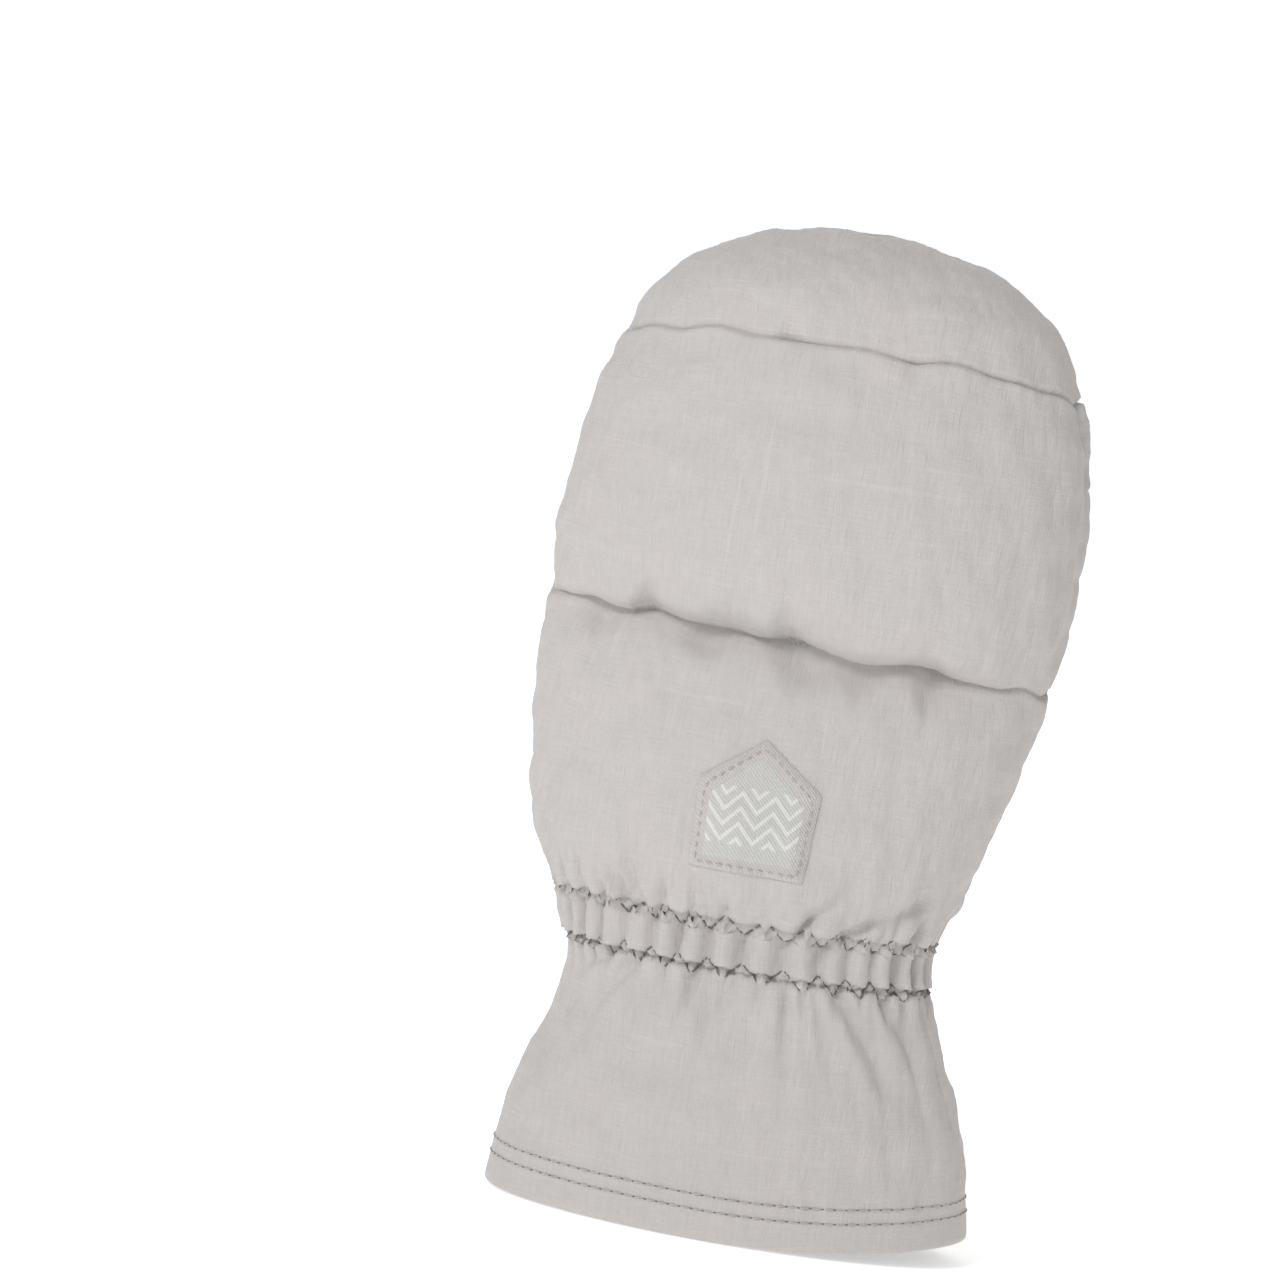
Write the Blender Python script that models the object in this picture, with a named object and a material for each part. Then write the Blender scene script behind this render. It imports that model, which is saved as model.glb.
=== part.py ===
"""Ski mitten for the right hand, standing on its cuff.

+Z runs up the fingers, -Y is the back of the hand, +Y the palm, and the thumb is on the -X side.
The body of the mitten is one envelope of oval sections, and every cloth, wadding and lining piece
is a layer of it: a loft between sections at a stated lift above, or below, the envelope. The thumb
is a second envelope of the same kind. Sizes are in millimetres and become metres in each mesh.
"""

import math

import bmesh
import bpy
from mathutils import Vector

MM = 0.001

# Heights of the fingertips, the seams, the elastics and the hem.
TIP_TOP = 269.0
DOME_START = 225.0
KNUCKLE = 163.0
HAND_BOTTOM = 92.0
CUFF_TOP = 68.0
HEM_HEIGHT = 15.0
UPPER_ELASTIC = 85.0
LOWER_ELASTIC = 74.0

# The oval sections of the body: height, thumb-side and far-side half widths, back and palm depths.
BODY_SECTIONS = (
    (0.0, 65.0, 65.0, 40.0, 40.0),
    (30.0, 61.5, 61.0, 36.5, 36.5),
    (55.0, 55.5, 53.5, 32.0, 31.0),
    (80.0, 48.5, 43.5, 27.0, 25.0),
    (95.0, 51.5, 45.5, 27.5, 24.5),
    (120.0, 61.0, 51.5, 28.0, 24.0),
    (163.0, 67.5, 61.5, 27.5, 23.0),
    (200.0, 66.0, 61.5, 27.0, 22.0),
    (225.0, 64.0, 60.0, 25.0, 20.0),
)
# Sections run nearly straight up to the dome, which closes as a blunt ellipse.
DOME_BLUNTNESS = 2.4
# The dome's rows count on past DOME_START in degrees, so the pole is 90 further on.
TIP_SEAM_ROW = DOME_START + 22.0
POLE_ROW = DOME_START + 90.0

# How far each chamber of wadding puffs out between its seams.
HAND_PUFF = 6.5
FINGER_PUFF = 8.5
TIP_PUFF = 8.0
THUMB_PUFF = 2.5

# The layers, as lifts above the envelope. Neighbours keep a gap of 0.3 mm.
GAP = 0.3
SHELL = 0.9
LEATHER = 1.1
FILL_BASE = -5.0
LINING_TOP = FILL_BASE - 1.0
LINING_BASE = LINING_TOP - 1.2

# Turns round the envelope in degrees: 0 is the far side, 90 the palm, 180 the thumb side, 270 the back.
LEATHER_FIRST = 30.0
LEATHER_LAST = 150.0
START_TURN = 30.0
ROUND_COLUMNS = 30
# The cuff's two side seams, and where the waist's leather meets its cloth.
THUMB_SIDE_SEAM = 186.0
FAR_SIDE_SEAM = 354.0
WAIST_LEATHER_LAST = 102.0
SEAM_GAP_TURNS = 0.3

# The sections of the thumb: height, centre x and y, half width and half depth.
THUMB_SECTIONS = (
    (84.0, -24.0, 6.0, 22.0, 14.0),
    (97.0, -29.5, 16.5, 25.5, 16.5),
    (116.0, -33.0, 28.5, 28.0, 18.0),
    (130.0, -35.0, 37.0, 28.5, 18.5),
    (141.0, -36.5, 42.5, 28.0, 18.5),
    (160.0, -37.0, 44.5, 27.5, 18.5),
    (182.0, -34.5, 44.5, 24.5, 18.0),
    (207.0, -30.0, 43.0, 19.5, 16.0),
)
THUMB_DOME_START = 204.0
THUMB_TOP = 224.0
THUMB_POLE_ROW = THUMB_DOME_START + 90.0
THUMB_BOTTOM = 96.0
THUMB_SEAM = 141.0
THUMB_HINGE_Y = 43.0
THUMB_FABRIC = (30.0, 190.0)
THUMB_BASE_LAST = 210.0
GUSSET_FIRST = -50.0
THUMB_COLUMNS = 18
THUMB_DOME_STEPS = (20.0, 40.0, 60.0, 76.0, 86.0, 90.0)

# The knuckle hinge runs along X through this depth, and each bending line opens by this half angle.
KNUCKLE_HINGE_Y = 8.0
GROOVE_HALF_ANGLE = 16.5

# The box round the whole mitten is centred on the origin, and the cuff's own centre is off it.
CENTRE_X = 2.32
CENTRE_Y = -12.15

# Stitching: the thread, the zigzags, the hem's two rows, and lifts that keep each clear of what it sews.
THREAD_RADIUS = 0.3
WRIST_GIRTH = 222.0
ZIGZAG_PITCH = 6.8
ZIGZAG_HEIGHT = 5.0
UPPER_ZIGZAG_TURNS = (31.0, 389.0)
LOWER_ZIGZAG_TURNS = (190.0, 350.0)
CUFF_SEAM_TURNS = (102.0, 186.0)
HEM_STITCHES = (8.6, 12.6)
STITCH_LIFT = 0.75
STITCH_OVER_STRIP = 2.1
ELASTIC_HALF_WIDTH = 3.0
ELASTIC_LIFTS = (-1.4, -2.6)

# The leather strip's two edges as turns at the hem and at the cuff's top, and the label held in one edge.
STRIP_FOOT = (70.0, 97.0)
STRIP_HEAD = (75.0, 100.0)
STRIP_INSET = 2.0
LABEL_HEIGHTS = (33.0, 58.0)
LABEL_TURNS = 12.0

# The patch: heights of its foot, shoulders and apex, its sides at the foot, and how far they spread above.
PATCH_HEIGHTS = (100.6, 126.5, 139.4)
PATCH_SIDES = (-22.5, 8.5)
PATCH_SPREAD = 1.5
PATCH_THICK = 1.0
PATCH_STITCH_INSET = 1.8

FABRIC = "shell_fabric"
SKIN = "palm_leather"
WADDING = "wadding"
FLEECE = "lining_fleece"
RUBBER = "elastic_band"
THREAD = "thread"
PATCH = "patch_fabric"
LABEL = "label_ribbon"
COLOURS = {
    FABRIC: ((0.53, 0.50, 0.48), 0.75),
    SKIN: ((0.78, 0.78, 0.74), 0.55),
    WADDING: ((0.85, 0.85, 0.83), 0.95),
    FLEECE: ((0.62, 0.60, 0.56), 0.95),
    RUBBER: ((0.80, 0.80, 0.78), 0.70),
    THREAD: ((0.30, 0.28, 0.27), 0.60),
    PATCH: ((0.55, 0.56, 0.56), 0.60),
    LABEL: ((0.02, 0.02, 0.02), 0.65),
}


def clear_scene():
    for obj in list(bpy.data.objects):
        bpy.data.objects.remove(obj)


def new_collection(name, hidden=False):
    collection = bpy.data.collections.new(name)
    collection.hide_render = hidden
    bpy.context.scene.collection.children.link(collection)
    return collection


def material(slot):
    found = bpy.data.materials.get(slot)
    if found:
        return found
    colour, roughness = COLOURS[slot]
    made = bpy.data.materials.new(slot)
    made.use_nodes = True
    shader = made.node_tree.nodes["Principled BSDF"]
    shader.inputs["Base Color"].default_value = (*colour, 1.0)
    shader.inputs["Roughness"].default_value = roughness
    shader.inputs["Metallic"].default_value = 0.0
    return made


def placed(point):
    """A point of the mitten, in metres from the middle of its footprint."""
    return (point + Vector((CENTRE_X, CENTRE_Y, 0.0))) * MM


def spline(table, at):
    """The table's columns at a height, read from a smooth curve through its rows."""
    rows = [table[0], *table, table[-1]]
    at = min(max(at, table[0][0]), table[-1][0])
    i = 1
    while i < len(rows) - 3 and at > rows[i + 1][0]:
        i += 1
    before, low, high, after = rows[i - 1 : i + 3]
    span = high[0] - low[0]
    t = (at - low[0]) / span
    values = []
    for column in range(1, len(low)):
        slope_low = (high[column] - before[column]) / max(high[0] - before[0], span)
        slope_high = (after[column] - low[column]) / max(after[0] - low[0], span)
        values.append(
            (2 * t**3 - 3 * t**2 + 1) * low[column]
            + (t**3 - 2 * t**2 + t) * span * slope_low
            + (3 * t**2 - 2 * t**3) * high[column]
            + (t**3 - t**2) * span * slope_high
        )
    return values


def dome(row, start, top, bluntness):
    """(height, share of the width left) for a row: rows past the start are degrees up the dome."""
    if row <= start:
        return row, 1.0
    angle = math.radians(min(row - start, 90.0))
    power = 2 / bluntness
    return start + (top - start) * math.sin(angle) ** power, max(math.cos(angle), 0.0) ** power


def body_section(row):
    """(height, centre x, half width, back depth, palm depth) of the body at a row."""
    z, share = dome(row, DOME_START, TIP_TOP, DOME_BLUNTNESS)
    thumb_side, far_side, back, palm = spline(BODY_SECTIONS, z)
    centre = (far_side - thumb_side) / 2
    return z, centre, share * (far_side + thumb_side) / 2, share * back, share * palm


def body_envelope(row, turn):
    z, centre, half, back, palm = body_section(row)
    angle = math.radians(turn)
    depth = palm if math.sin(angle) > 0 else back
    return Vector((centre + half * math.cos(angle), depth * math.sin(angle), z))


def thumb_envelope(row, turn):
    z, share = dome(row, THUMB_DOME_START, THUMB_TOP, 2.0)
    x, y, half_width, half_depth = spline(THUMB_SECTIONS, z)
    angle = math.radians(turn)
    return Vector((
        x + share * half_width * math.cos(angle),
        y + share * half_depth * math.sin(angle),
        z,
    ))


def lifted(envelope, dome_start, row, turn, lift):
    """A point that far outside the envelope: level with its row on the walls, square to the dome on it."""
    if row >= dome_start + 89.99:
        return envelope(row, turn) + Vector((0.0, 0.0, lift))
    step = 0.5
    along = envelope(row + step, turn) - envelope(row - step, turn)
    across = envelope(row, turn + step) - envelope(row, turn - step)
    normal = across.cross(along)
    normal.z *= min(max((row - dome_start) / 10.0, 0.0), 1.0)
    return envelope(row, turn) + normal.normalized() * lift


def on_body(row, turn, lift):
    return lifted(body_envelope, DOME_START, row, turn, lift)


def on_thumb(row, turn, lift):
    return lifted(thumb_envelope, THUMB_DOME_START, row, turn, lift)


def arch(row, low, high):
    """1 in the middle of a chamber and 0 at its seams, rising steeply beside them."""
    t = min(max((row - low) / (high - low), 0.0), 1.0)
    return math.sqrt(4 * t * (1 - t))


def body_puff(row, turn):
    """How far the filled shell stands out: fully on the back, half at the sides."""
    if row < KNUCKLE:
        height = HAND_PUFF * arch(row, HAND_BOTTOM, KNUCKLE)
    elif row < TIP_SEAM_ROW:
        height = FINGER_PUFF * arch(row, KNUCKLE, TIP_SEAM_ROW)
    else:
        height = TIP_PUFF * arch(row, TIP_SEAM_ROW, 2 * POLE_ROW - TIP_SEAM_ROW)
    if row >= TIP_SEAM_ROW:
        return height
    palmward = math.sin(math.radians(turn))
    return height * (0.72 - 0.28 * palmward if palmward < 0 else 0.72 - 0.9 * palmward)


def thumb_puff(row, _turn):
    if row < THUMB_SEAM:
        return THUMB_PUFF * arch(row, THUMB_BOTTOM, THUMB_SEAM)
    return THUMB_PUFF * arch(row, THUMB_SEAM, 2 * THUMB_POLE_ROW - THUMB_SEAM)


def level(lift):
    return lambda _row, _turn: lift


def above(puff, lift):
    return lambda row, turn: puff(row, turn) + lift


def rows_between(low, high, count):
    """Rows that crowd towards both seams, where a chamber curves most."""
    return [low + (high - low) * (1 - math.cos(math.pi * i / (count - 1))) / 2 for i in range(count)]


def even_rows(low, high, count):
    return [low + (high - low) * i / (count - 1) for i in range(count)]


def add_object(name, mesh, slot, collection):
    obj = bpy.data.objects.new(name, mesh)
    collection.objects.link(obj)
    mesh.materials.append(material(slot))
    mesh.shade_smooth()
    mesh.set_sharp_from_angle(angle=math.radians(40))
    return obj


def layer(name, slot, surface, rows, outer, inner, span, columns, collection):
    """A closed wall between two lifts of a surface, lofted from section to section.

    span(row) gives the first and last turn, and is None for a piece that goes all the way round. Such
    a ring closes in a point if its last row is the pole.
    """
    pole = {on_body: POLE_ROW, on_thumb: THUMB_POLE_ROW}[surface]
    closes = span is None and rows[-1] >= pole - 0.01
    bm = bmesh.new()

    def section(row, lift):
        if span is None:
            turns = [START_TURN + 360.0 * i / columns for i in range(columns)]
        else:
            first, last = span(row)
            turns = [first + (last - first) * i / columns for i in range(columns + 1)]
        points = [surface(row, turn, lift(row, turn)) for turn in turns]
        return [bm.verts.new(placed(point)) for point in points]

    open_rows = rows[:-1] if closes else rows
    outside = [section(row, outer) for row in open_rows]
    inside = [section(row, inner) for row in open_rows]
    around = len(outside[0])
    steps = around if span is None else around - 1

    def strip(first, second):
        for i in range(steps):
            j = (i + 1) % around
            bm.faces.new((first[i], first[j], second[j], second[i]))

    for walls in (outside, inside):
        for low, high in zip(walls, walls[1:]):
            strip(low, high)
    strip(outside[0], inside[0])
    if closes:
        for walls, lift in ((outside, outer), (inside, inner)):
            tip = bm.verts.new(placed(surface(pole, 0.0, lift(pole, 0.0))))
            for i in range(around):
                bm.faces.new((walls[-1][i], walls[-1][(i + 1) % around], tip))
    else:
        strip(outside[-1], inside[-1])
    if span is not None:
        for end in (0, -1):
            for k in range(len(open_rows) - 1):
                bm.faces.new((outside[k][end], outside[k + 1][end], inside[k + 1][end], inside[k][end]))
    bmesh.ops.recalc_face_normals(bm, faces=bm.faces)
    mesh = bpy.data.meshes.new(name)
    bm.to_mesh(mesh)
    bm.free()
    return add_object(name, mesh, slot, collection)


def solid_of(name, surface, rows, lift, columns, collection):
    """A closed lump inside one lift of a surface, to cut with."""
    bm = bmesh.new()
    rings = []
    for row in rows:
        points = [surface(row, START_TURN + 360.0 * i / columns, lift) for i in range(columns)]
        rings.append([bm.verts.new(placed(point)) for point in points])
    for low, high in zip(rings, rings[1:]):
        for i in range(columns):
            j = (i + 1) % columns
            bm.faces.new((low[i], low[j], high[j], high[i]))
    bm.faces.new(rings[0])
    bm.faces.new(rings[-1])
    bmesh.ops.recalc_face_normals(bm, faces=bm.faces)
    mesh = bpy.data.meshes.new(name)
    bm.to_mesh(mesh)
    bm.free()
    return helper(bpy.data.objects.new(name, mesh), collection)


def helper(obj, collection):
    collection.objects.link(obj)
    obj.hide_render = True
    obj.display_type = "WIRE"
    return obj


def prism(name, outline, low, high, axis, collection):
    """A flat outline in millimetres, swept along X or Y between two places."""
    bm = bmesh.new()

    def place(a, b, c):
        x, y = (c, a) if axis == "X" else (a, c)
        return bm.verts.new(placed(Vector((x, y, b))))

    ends = [[place(a, b, c) for a, b in outline] for c in (low, high)]
    for end in ends:
        bm.faces.new(end)
    for i in range(len(outline)):
        j = (i + 1) % len(outline)
        bm.faces.new((ends[0][i], ends[0][j], ends[1][j], ends[1][i]))
    bmesh.ops.recalc_face_normals(bm, faces=bm.faces)
    mesh = bpy.data.meshes.new(name)
    bm.to_mesh(mesh)
    bm.free()
    return helper(bpy.data.objects.new(name, mesh), collection)


def bending_gap(name, hinge_y, z, side, collection):
    """Everything past a bending line on one side of it: side +1 is above, -1 is below.

    Behind the hinge line a fine slit is left between two pieces so cut, and palmward a wedge.
    """
    reach = 60.0
    rise = reach * math.tan(math.radians(GROOVE_HALF_ANGLE))
    face = z - side * GAP / 2
    outline = (
        (hinge_y - 100.0, face),
        (hinge_y, face),
        (hinge_y + reach, face - side * rise),
        (hinge_y + reach, z + side * 50.0),
        (hinge_y - 100.0, z + side * 50.0),
    )
    return prism(name, outline, -150.0, 150.0, "X", collection)


def carve(obj, cutter, operation="DIFFERENCE"):
    """Cuts now, so that the piece's mesh is final before another cut reads it."""
    modifier = obj.modifiers.new(cutter.name, "BOOLEAN")
    modifier.operation = operation
    modifier.object = cutter
    modifier.solver = "EXACT"
    bpy.context.view_layer.update()
    evaluated = obj.evaluated_get(bpy.context.evaluated_depsgraph_get())
    mesh = bpy.data.meshes.new_from_object(evaluated)
    obj.modifiers.clear()
    old = obj.data
    obj.data = mesh
    bpy.data.meshes.remove(old)
    return obj


def thread(name, points, collection, closed=False):
    """A sewing thread as a fine tube through points in millimetres."""
    curve = bpy.data.curves.new(name, "CURVE")
    curve.dimensions = "3D"
    curve.bevel_depth = THREAD_RADIUS * MM
    curve.bevel_resolution = 0
    curve.use_fill_caps = True
    line = curve.splines.new("POLY")
    line.points.add(len(points) - 1)
    for point, place in zip(line.points, points):
        point.co = (*placed(place), 1.0)
    line.use_cyclic_u = closed
    curve.materials.append(material(THREAD))
    obj = bpy.data.objects.new(name, curve)
    collection.objects.link(obj)
    return obj


def sector(first, last):
    """The span of a piece between two seams, held off each by the gap."""
    return lambda _row: (first + SEAM_GAP_TURNS, last - SEAM_GAP_TURNS)


# The back shell wraps round both sides to the edges of the palm leather.
BACK_SPAN = sector(LEATHER_LAST, 360.0 + LEATHER_FIRST)
PALM_SPAN = sector(LEATHER_FIRST, LEATHER_LAST)
HAND_ROWS = rows_between(HAND_BOTTOM, KNUCKLE - 0.2, 7)
FINGER_ROWS = rows_between(KNUCKLE + 0.2, TIP_SEAM_ROW - 0.3, 8)
TIP_ROWS = even_rows(TIP_SEAM_ROW + 0.3, POLE_ROW, 6)


def make_shell(parts):
    """The outer cloth of the back: two quilted panels, and the cap over the fingertips."""
    outer, inner = above(body_puff, 0.0), above(body_puff, -SHELL)
    layer("back_hand_panel", FABRIC, on_body, HAND_ROWS, outer, inner, BACK_SPAN, 20, parts)
    layer("back_finger_panel", FABRIC, on_body, FINGER_ROWS, outer, inner, BACK_SPAN, 20, parts)
    layer("fingertip_panel", FABRIC, on_body, TIP_ROWS, outer, inner, None, ROUND_COLUMNS, parts)


def make_fill(parts):
    """The wadding: three quilted chambers on the back, and thin pads on the palm."""
    outer, inner = above(body_puff, -SHELL - GAP), level(FILL_BASE)
    layer("hand_back_wadding", WADDING, on_body, HAND_ROWS, outer, inner, BACK_SPAN, 20, parts)
    layer("finger_back_wadding", WADDING, on_body, FINGER_ROWS, outer, inner, BACK_SPAN, 20, parts)
    layer("fingertip_wadding", WADDING, on_body, TIP_ROWS, outer, inner, None, ROUND_COLUMNS, parts)
    pad_top = level(-LEATHER - GAP)
    layer("palm_pad", WADDING, on_body, HAND_ROWS, pad_top, inner, PALM_SPAN, 10, parts)
    layer("finger_pad", WADDING, on_body, FINGER_ROWS, pad_top, inner, PALM_SPAN, 10, parts)


def make_palm(parts):
    rows = HAND_ROWS[:-1] + FINGER_ROWS
    layer("palm_leather_panel", SKIN, on_body, rows, level(0.0), level(-LEATHER), PALM_SPAN, 10, parts)


def make_sleeve(name, rows, parts):
    """A length of the fleece lining, all the way round the body."""
    layer(name, FLEECE, on_body, rows, level(LINING_TOP), level(LINING_BASE), None, ROUND_COLUMNS, parts)


def make_lining(parts):
    rows = even_rows(HAND_BOTTOM, DOME_START, 7) + even_rows(DOME_START, POLE_ROW, 5)[1:]
    make_sleeve("hand_lining", rows, parts)


def make_thumb(parts):
    """The free thumb above its seam, and the swelling below it that grows out of the palm."""
    first, last = THUMB_FABRIC
    cloth, leather = sector(first, last), sector(last, first + 360.0)
    base_cloth, gusset = sector(first, THUMB_BASE_LAST), sector(GUSSET_FIRST, first)
    dome_rows = [THUMB_DOME_START + degrees for degrees in THUMB_DOME_STEPS]
    top_rows = even_rows(THUMB_SEAM + 0.2, THUMB_DOME_START, 5) + dome_rows
    base_rows = even_rows(THUMB_BOTTOM + 0.3, THUMB_SEAM - 0.2, 6)
    shell, cloth_base = above(thumb_puff, 0.0), above(thumb_puff, -SHELL)
    fill_top, fill_base = above(thumb_puff, -LEATHER - GAP), level(FILL_BASE)
    lining_top, lining_base = level(LINING_TOP), level(LINING_BASE)
    leather_base = above(thumb_puff, -LEATHER)
    pieces = {}
    for name, slot, rows, outer, inner, span, columns in (
        ("thumb_panel", FABRIC, top_rows[:-1], shell, cloth_base, cloth, 8),
        ("thumb_leather", SKIN, top_rows[:-1], shell, leather_base, leather, 10),
        ("thumb_base_panel", FABRIC, base_rows, shell, cloth_base, base_cloth, 9),
        ("thumb_gusset_leather", SKIN, base_rows, shell, leather_base, gusset, 4),
        ("thumb_wadding", WADDING, top_rows, fill_top, fill_base, None, THUMB_COLUMNS),
        ("thumb_lining", FLEECE, top_rows, lining_top, lining_base, None, THUMB_COLUMNS),
        ("thumb_base_wadding", WADDING, base_rows, fill_top, fill_base, None, THUMB_COLUMNS),
        ("thumb_base_lining", FLEECE, base_rows, lining_top, lining_base, None, THUMB_COLUMNS),
    ):
        pieces[name] = layer(name, slot, on_thumb, rows, outer, inner, span, columns, parts)
    return pieces


def make_cuff(parts):
    """The flared gauntlet: back and palm panels, padding, turned-up hem and lining."""
    rows = even_rows(0.3, CUFF_TOP, 5)
    shell, cloth_base = level(0.0), level(-SHELL)
    back, palm = sector(THUMB_SIDE_SEAM, FAR_SIDE_SEAM), sector(FAR_SIDE_SEAM - 360.0, THUMB_SIDE_SEAM)
    layer("cuff_back_panel", FABRIC, on_body, rows, shell, cloth_base, back, 14, parts)
    layer("cuff_palm_panel", FABRIC, on_body, rows, shell, cloth_base, palm, 16, parts)
    core_top, core_base = level(-SHELL - GAP), level(FILL_BASE)
    layer("hem_facing", FABRIC, on_body, even_rows(0.0, HEM_HEIGHT, 2), core_top, core_base,
          None, ROUND_COLUMNS, parts)
    layer("cuff_padding", WADDING, on_body, even_rows(HEM_HEIGHT + GAP, CUFF_TOP, 4), core_top, core_base,
          None, ROUND_COLUMNS, parts)
    make_sleeve("cuff_lining", even_rows(0.6, CUFF_TOP, 4), parts)


def make_wrist(parts):
    """The gathered waist: cloth and leather over two elastics, and the lining's neck."""
    rows = even_rows(CUFF_TOP + GAP, HAND_BOTTOM - GAP, 4)
    shell, cloth_base = level(0.0), level(-SHELL)
    cloth = sector(WAIST_LEATHER_LAST, 360.0 + LEATHER_FIRST)
    leather = sector(LEATHER_FIRST, WAIST_LEATHER_LAST)
    layer("wrist_fabric", FABRIC, on_body, rows, shell, cloth_base, cloth, 24, parts)
    layer("wrist_leather", SKIN, on_body, rows, shell, cloth_base, leather, 6, parts)
    make_sleeve("wrist_lining", rows, parts)
    for name, z in (("upper_elastic", UPPER_ELASTIC), ("lower_elastic", LOWER_ELASTIC)):
        heights = (z - ELASTIC_HALF_WIDTH, z + ELASTIC_HALF_WIDTH)
        outer, inner = [level(lift) for lift in ELASTIC_LIFTS]
        layer(name, RUBBER, on_body, heights, outer, inner, None, ROUND_COLUMNS, parts)


def zigzag(name, z, first, last, parts):
    """A zigzag stitch over an elastic, between two turns."""
    halves = 2 * round(WRIST_GIRTH * (last - first) / 360.0 / ZIGZAG_PITCH)
    points = []
    for i in range(halves + 1):
        height = z + ZIGZAG_HEIGHT * (0.5 if i % 2 else -0.5)
        points.append(on_body(height, first + (last - first) * i / halves, STITCH_LIFT))
    thread(name, points, parts)


def make_stitching(parts):
    """Zigzags over both elastics, twin rows round the hem, and the seam where the palm meets the cuff."""
    zigzag("upper_zigzag_stitch", UPPER_ELASTIC, *UPPER_ZIGZAG_TURNS, parts)
    zigzag("lower_zigzag_stitch", LOWER_ELASTIC, *LOWER_ZIGZAG_TURNS, parts)
    for name, z in (("hem_stitch_lower", HEM_STITCHES[0]), ("hem_stitch_upper", HEM_STITCHES[1])):
        points = [on_body(z, turn, over_strip(turn)) for turn in range(0, 360, 10)]
        thread(name, points, parts, closed=True)
    points = [on_body(CUFF_TOP - 2.5, turn, STITCH_LIFT) for turn in even_rows(*CUFF_SEAM_TURNS, 12)]
    thread("cuff_seam_stitch", points, parts)


def over_strip(turn):
    """The lift of a stitch that passes over the leather strip."""
    first, last = STRIP_FOOT
    return STITCH_OVER_STRIP if first <= turn <= last + 3 else STITCH_LIFT


def strip_span(row):
    """The turns of the leather strip's far and thumb-side edges."""
    share = row / CUFF_TOP
    return [foot + (head - foot) * share for foot, head in zip(STRIP_FOOT, STRIP_HEAD)]


def make_strip(parts):
    """The leather strip up the palm side of the cuff, its topstitch, and the ribbon label beside it."""
    layer("cuff_leather_strip", SKIN, on_body, even_rows(1.0, CUFF_TOP, 5), level(GAP + LEATHER), level(GAP),
          strip_span, 6, parts)
    heights = even_rows(HEM_HEIGHT + 1.0, CUFF_TOP - 3.0, 5)
    far = [on_body(z, strip_span(z)[0] + STRIP_INSET, STITCH_OVER_STRIP + 0.1) for z in heights]
    near = [on_body(z, strip_span(z)[1] - STRIP_INSET, STITCH_OVER_STRIP + 0.1) for z in reversed(heights)]
    thread("strip_topstitch", far + near, parts)
    layer("side_label", LABEL, on_body, even_rows(*LABEL_HEIGHTS, 3), level(0.9), level(0.4),
          lambda row: (strip_span(row)[0] - LABEL_TURNS, strip_span(row)[0] - 0.8), 3, parts)


def patch_outline(inset):
    """The patch's five corners, drawn in by inset."""
    foot, shoulder, apex = PATCH_HEIGHTS
    left, right = PATCH_SIDES
    spread = PATCH_SPREAD - inset
    return (
        (left + inset, foot + inset),
        (right - inset, foot + inset),
        (right + spread, shoulder - inset / 2),
        ((left + right) / 2, apex - inset * 1.2),
        (left - spread, shoulder - inset / 2),
    )


def make_patch(parts, helpers):
    """The five-sided patch on the back of the hand and the stitch round it."""
    top = GAP + PATCH_THICK
    patch = layer("shield_patch", PATCH, on_body, rows_between(96.0, 145.0, 8), above(body_puff, top),
                  above(body_puff, GAP), lambda _row: (225.0, 300.0), 12, parts)
    carve(patch, prism("patch_outline", patch_outline(0.0), -60.0, 0.0, "Y", helpers), "INTERSECT")
    corners = patch_outline(PATCH_STITCH_INSET)
    points = []
    for (x0, z0), (x1, z1) in zip(corners, corners[1:] + corners[:1]):
        for step in range(4):
            share = step / 4
            points.append(on_back(x0 + (x1 - x0) * share, z0 + (z1 - z0) * share, top + 0.8))
    thread("patch_stitch", points, parts, closed=True)


def on_back(x, z, lift):
    """The point of the back's shell at that x and height, found by turning until x fits."""
    low, high = 180.0, 360.0
    for _ in range(30):
        middle = (low + high) / 2
        if on_body(z, middle, body_puff(z, middle) + lift).x < x:
            low = middle
        else:
            high = middle
    return on_body(z, middle, body_puff(z, middle) + lift)


# The bodies: what each turns on, the place of its pivot on the hinge line, and the pieces it carries.
BODIES = (
    ("cuff", None, (0.0, 0.0, 0.0), (
        "hem_facing", "cuff_padding", "cuff_back_panel", "cuff_palm_panel", "cuff_leather_strip",
        "cuff_lining", "hem_stitch_lower", "hem_stitch_upper", "cuff_seam_stitch", "strip_topstitch",
    )),
    ("label", "cuff", (16.69, 32.36, 45.5), ("side_label",)),
    ("wrist", "cuff", (-CENTRE_X, 0.0, 71.0), (
        "wrist_fabric", "wrist_leather", "wrist_lining", "upper_elastic", "lower_elastic",
        "upper_zigzag_stitch", "lower_zigzag_stitch",
    )),
    ("hand", "wrist", (-CENTRE_X, 0.0, 86.0), (
        "hand_back_wadding", "palm_pad", "back_hand_panel", "palm_leather_panel", "hand_lining",
        "shield_patch", "patch_stitch",
    )),
    ("fingers", "hand", (-CENTRE_X, KNUCKLE_HINGE_Y, KNUCKLE), (
        "finger_back_wadding", "finger_pad", "fingertip_wadding", "back_finger_panel", "fingertip_panel",
    )),
    ("thumb_base", "hand", (-30.0, 18.0, 94.0), (
        "thumb_base_wadding", "thumb_base_panel", "thumb_gusset_leather", "thumb_base_lining",
    )),
    ("thumb", "thumb_base", (-36.5, THUMB_HINGE_Y, THUMB_SEAM), (
        "thumb_wadding", "thumb_panel", "thumb_leather", "thumb_lining",
    )),
)


def hang(obj, pivot):
    """Parents an object to a pivot and leaves it where it is."""
    bpy.context.view_layer.update()
    obj.parent = pivot
    obj.matrix_parent_inverse = pivot.matrix_world.inverted()


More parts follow.
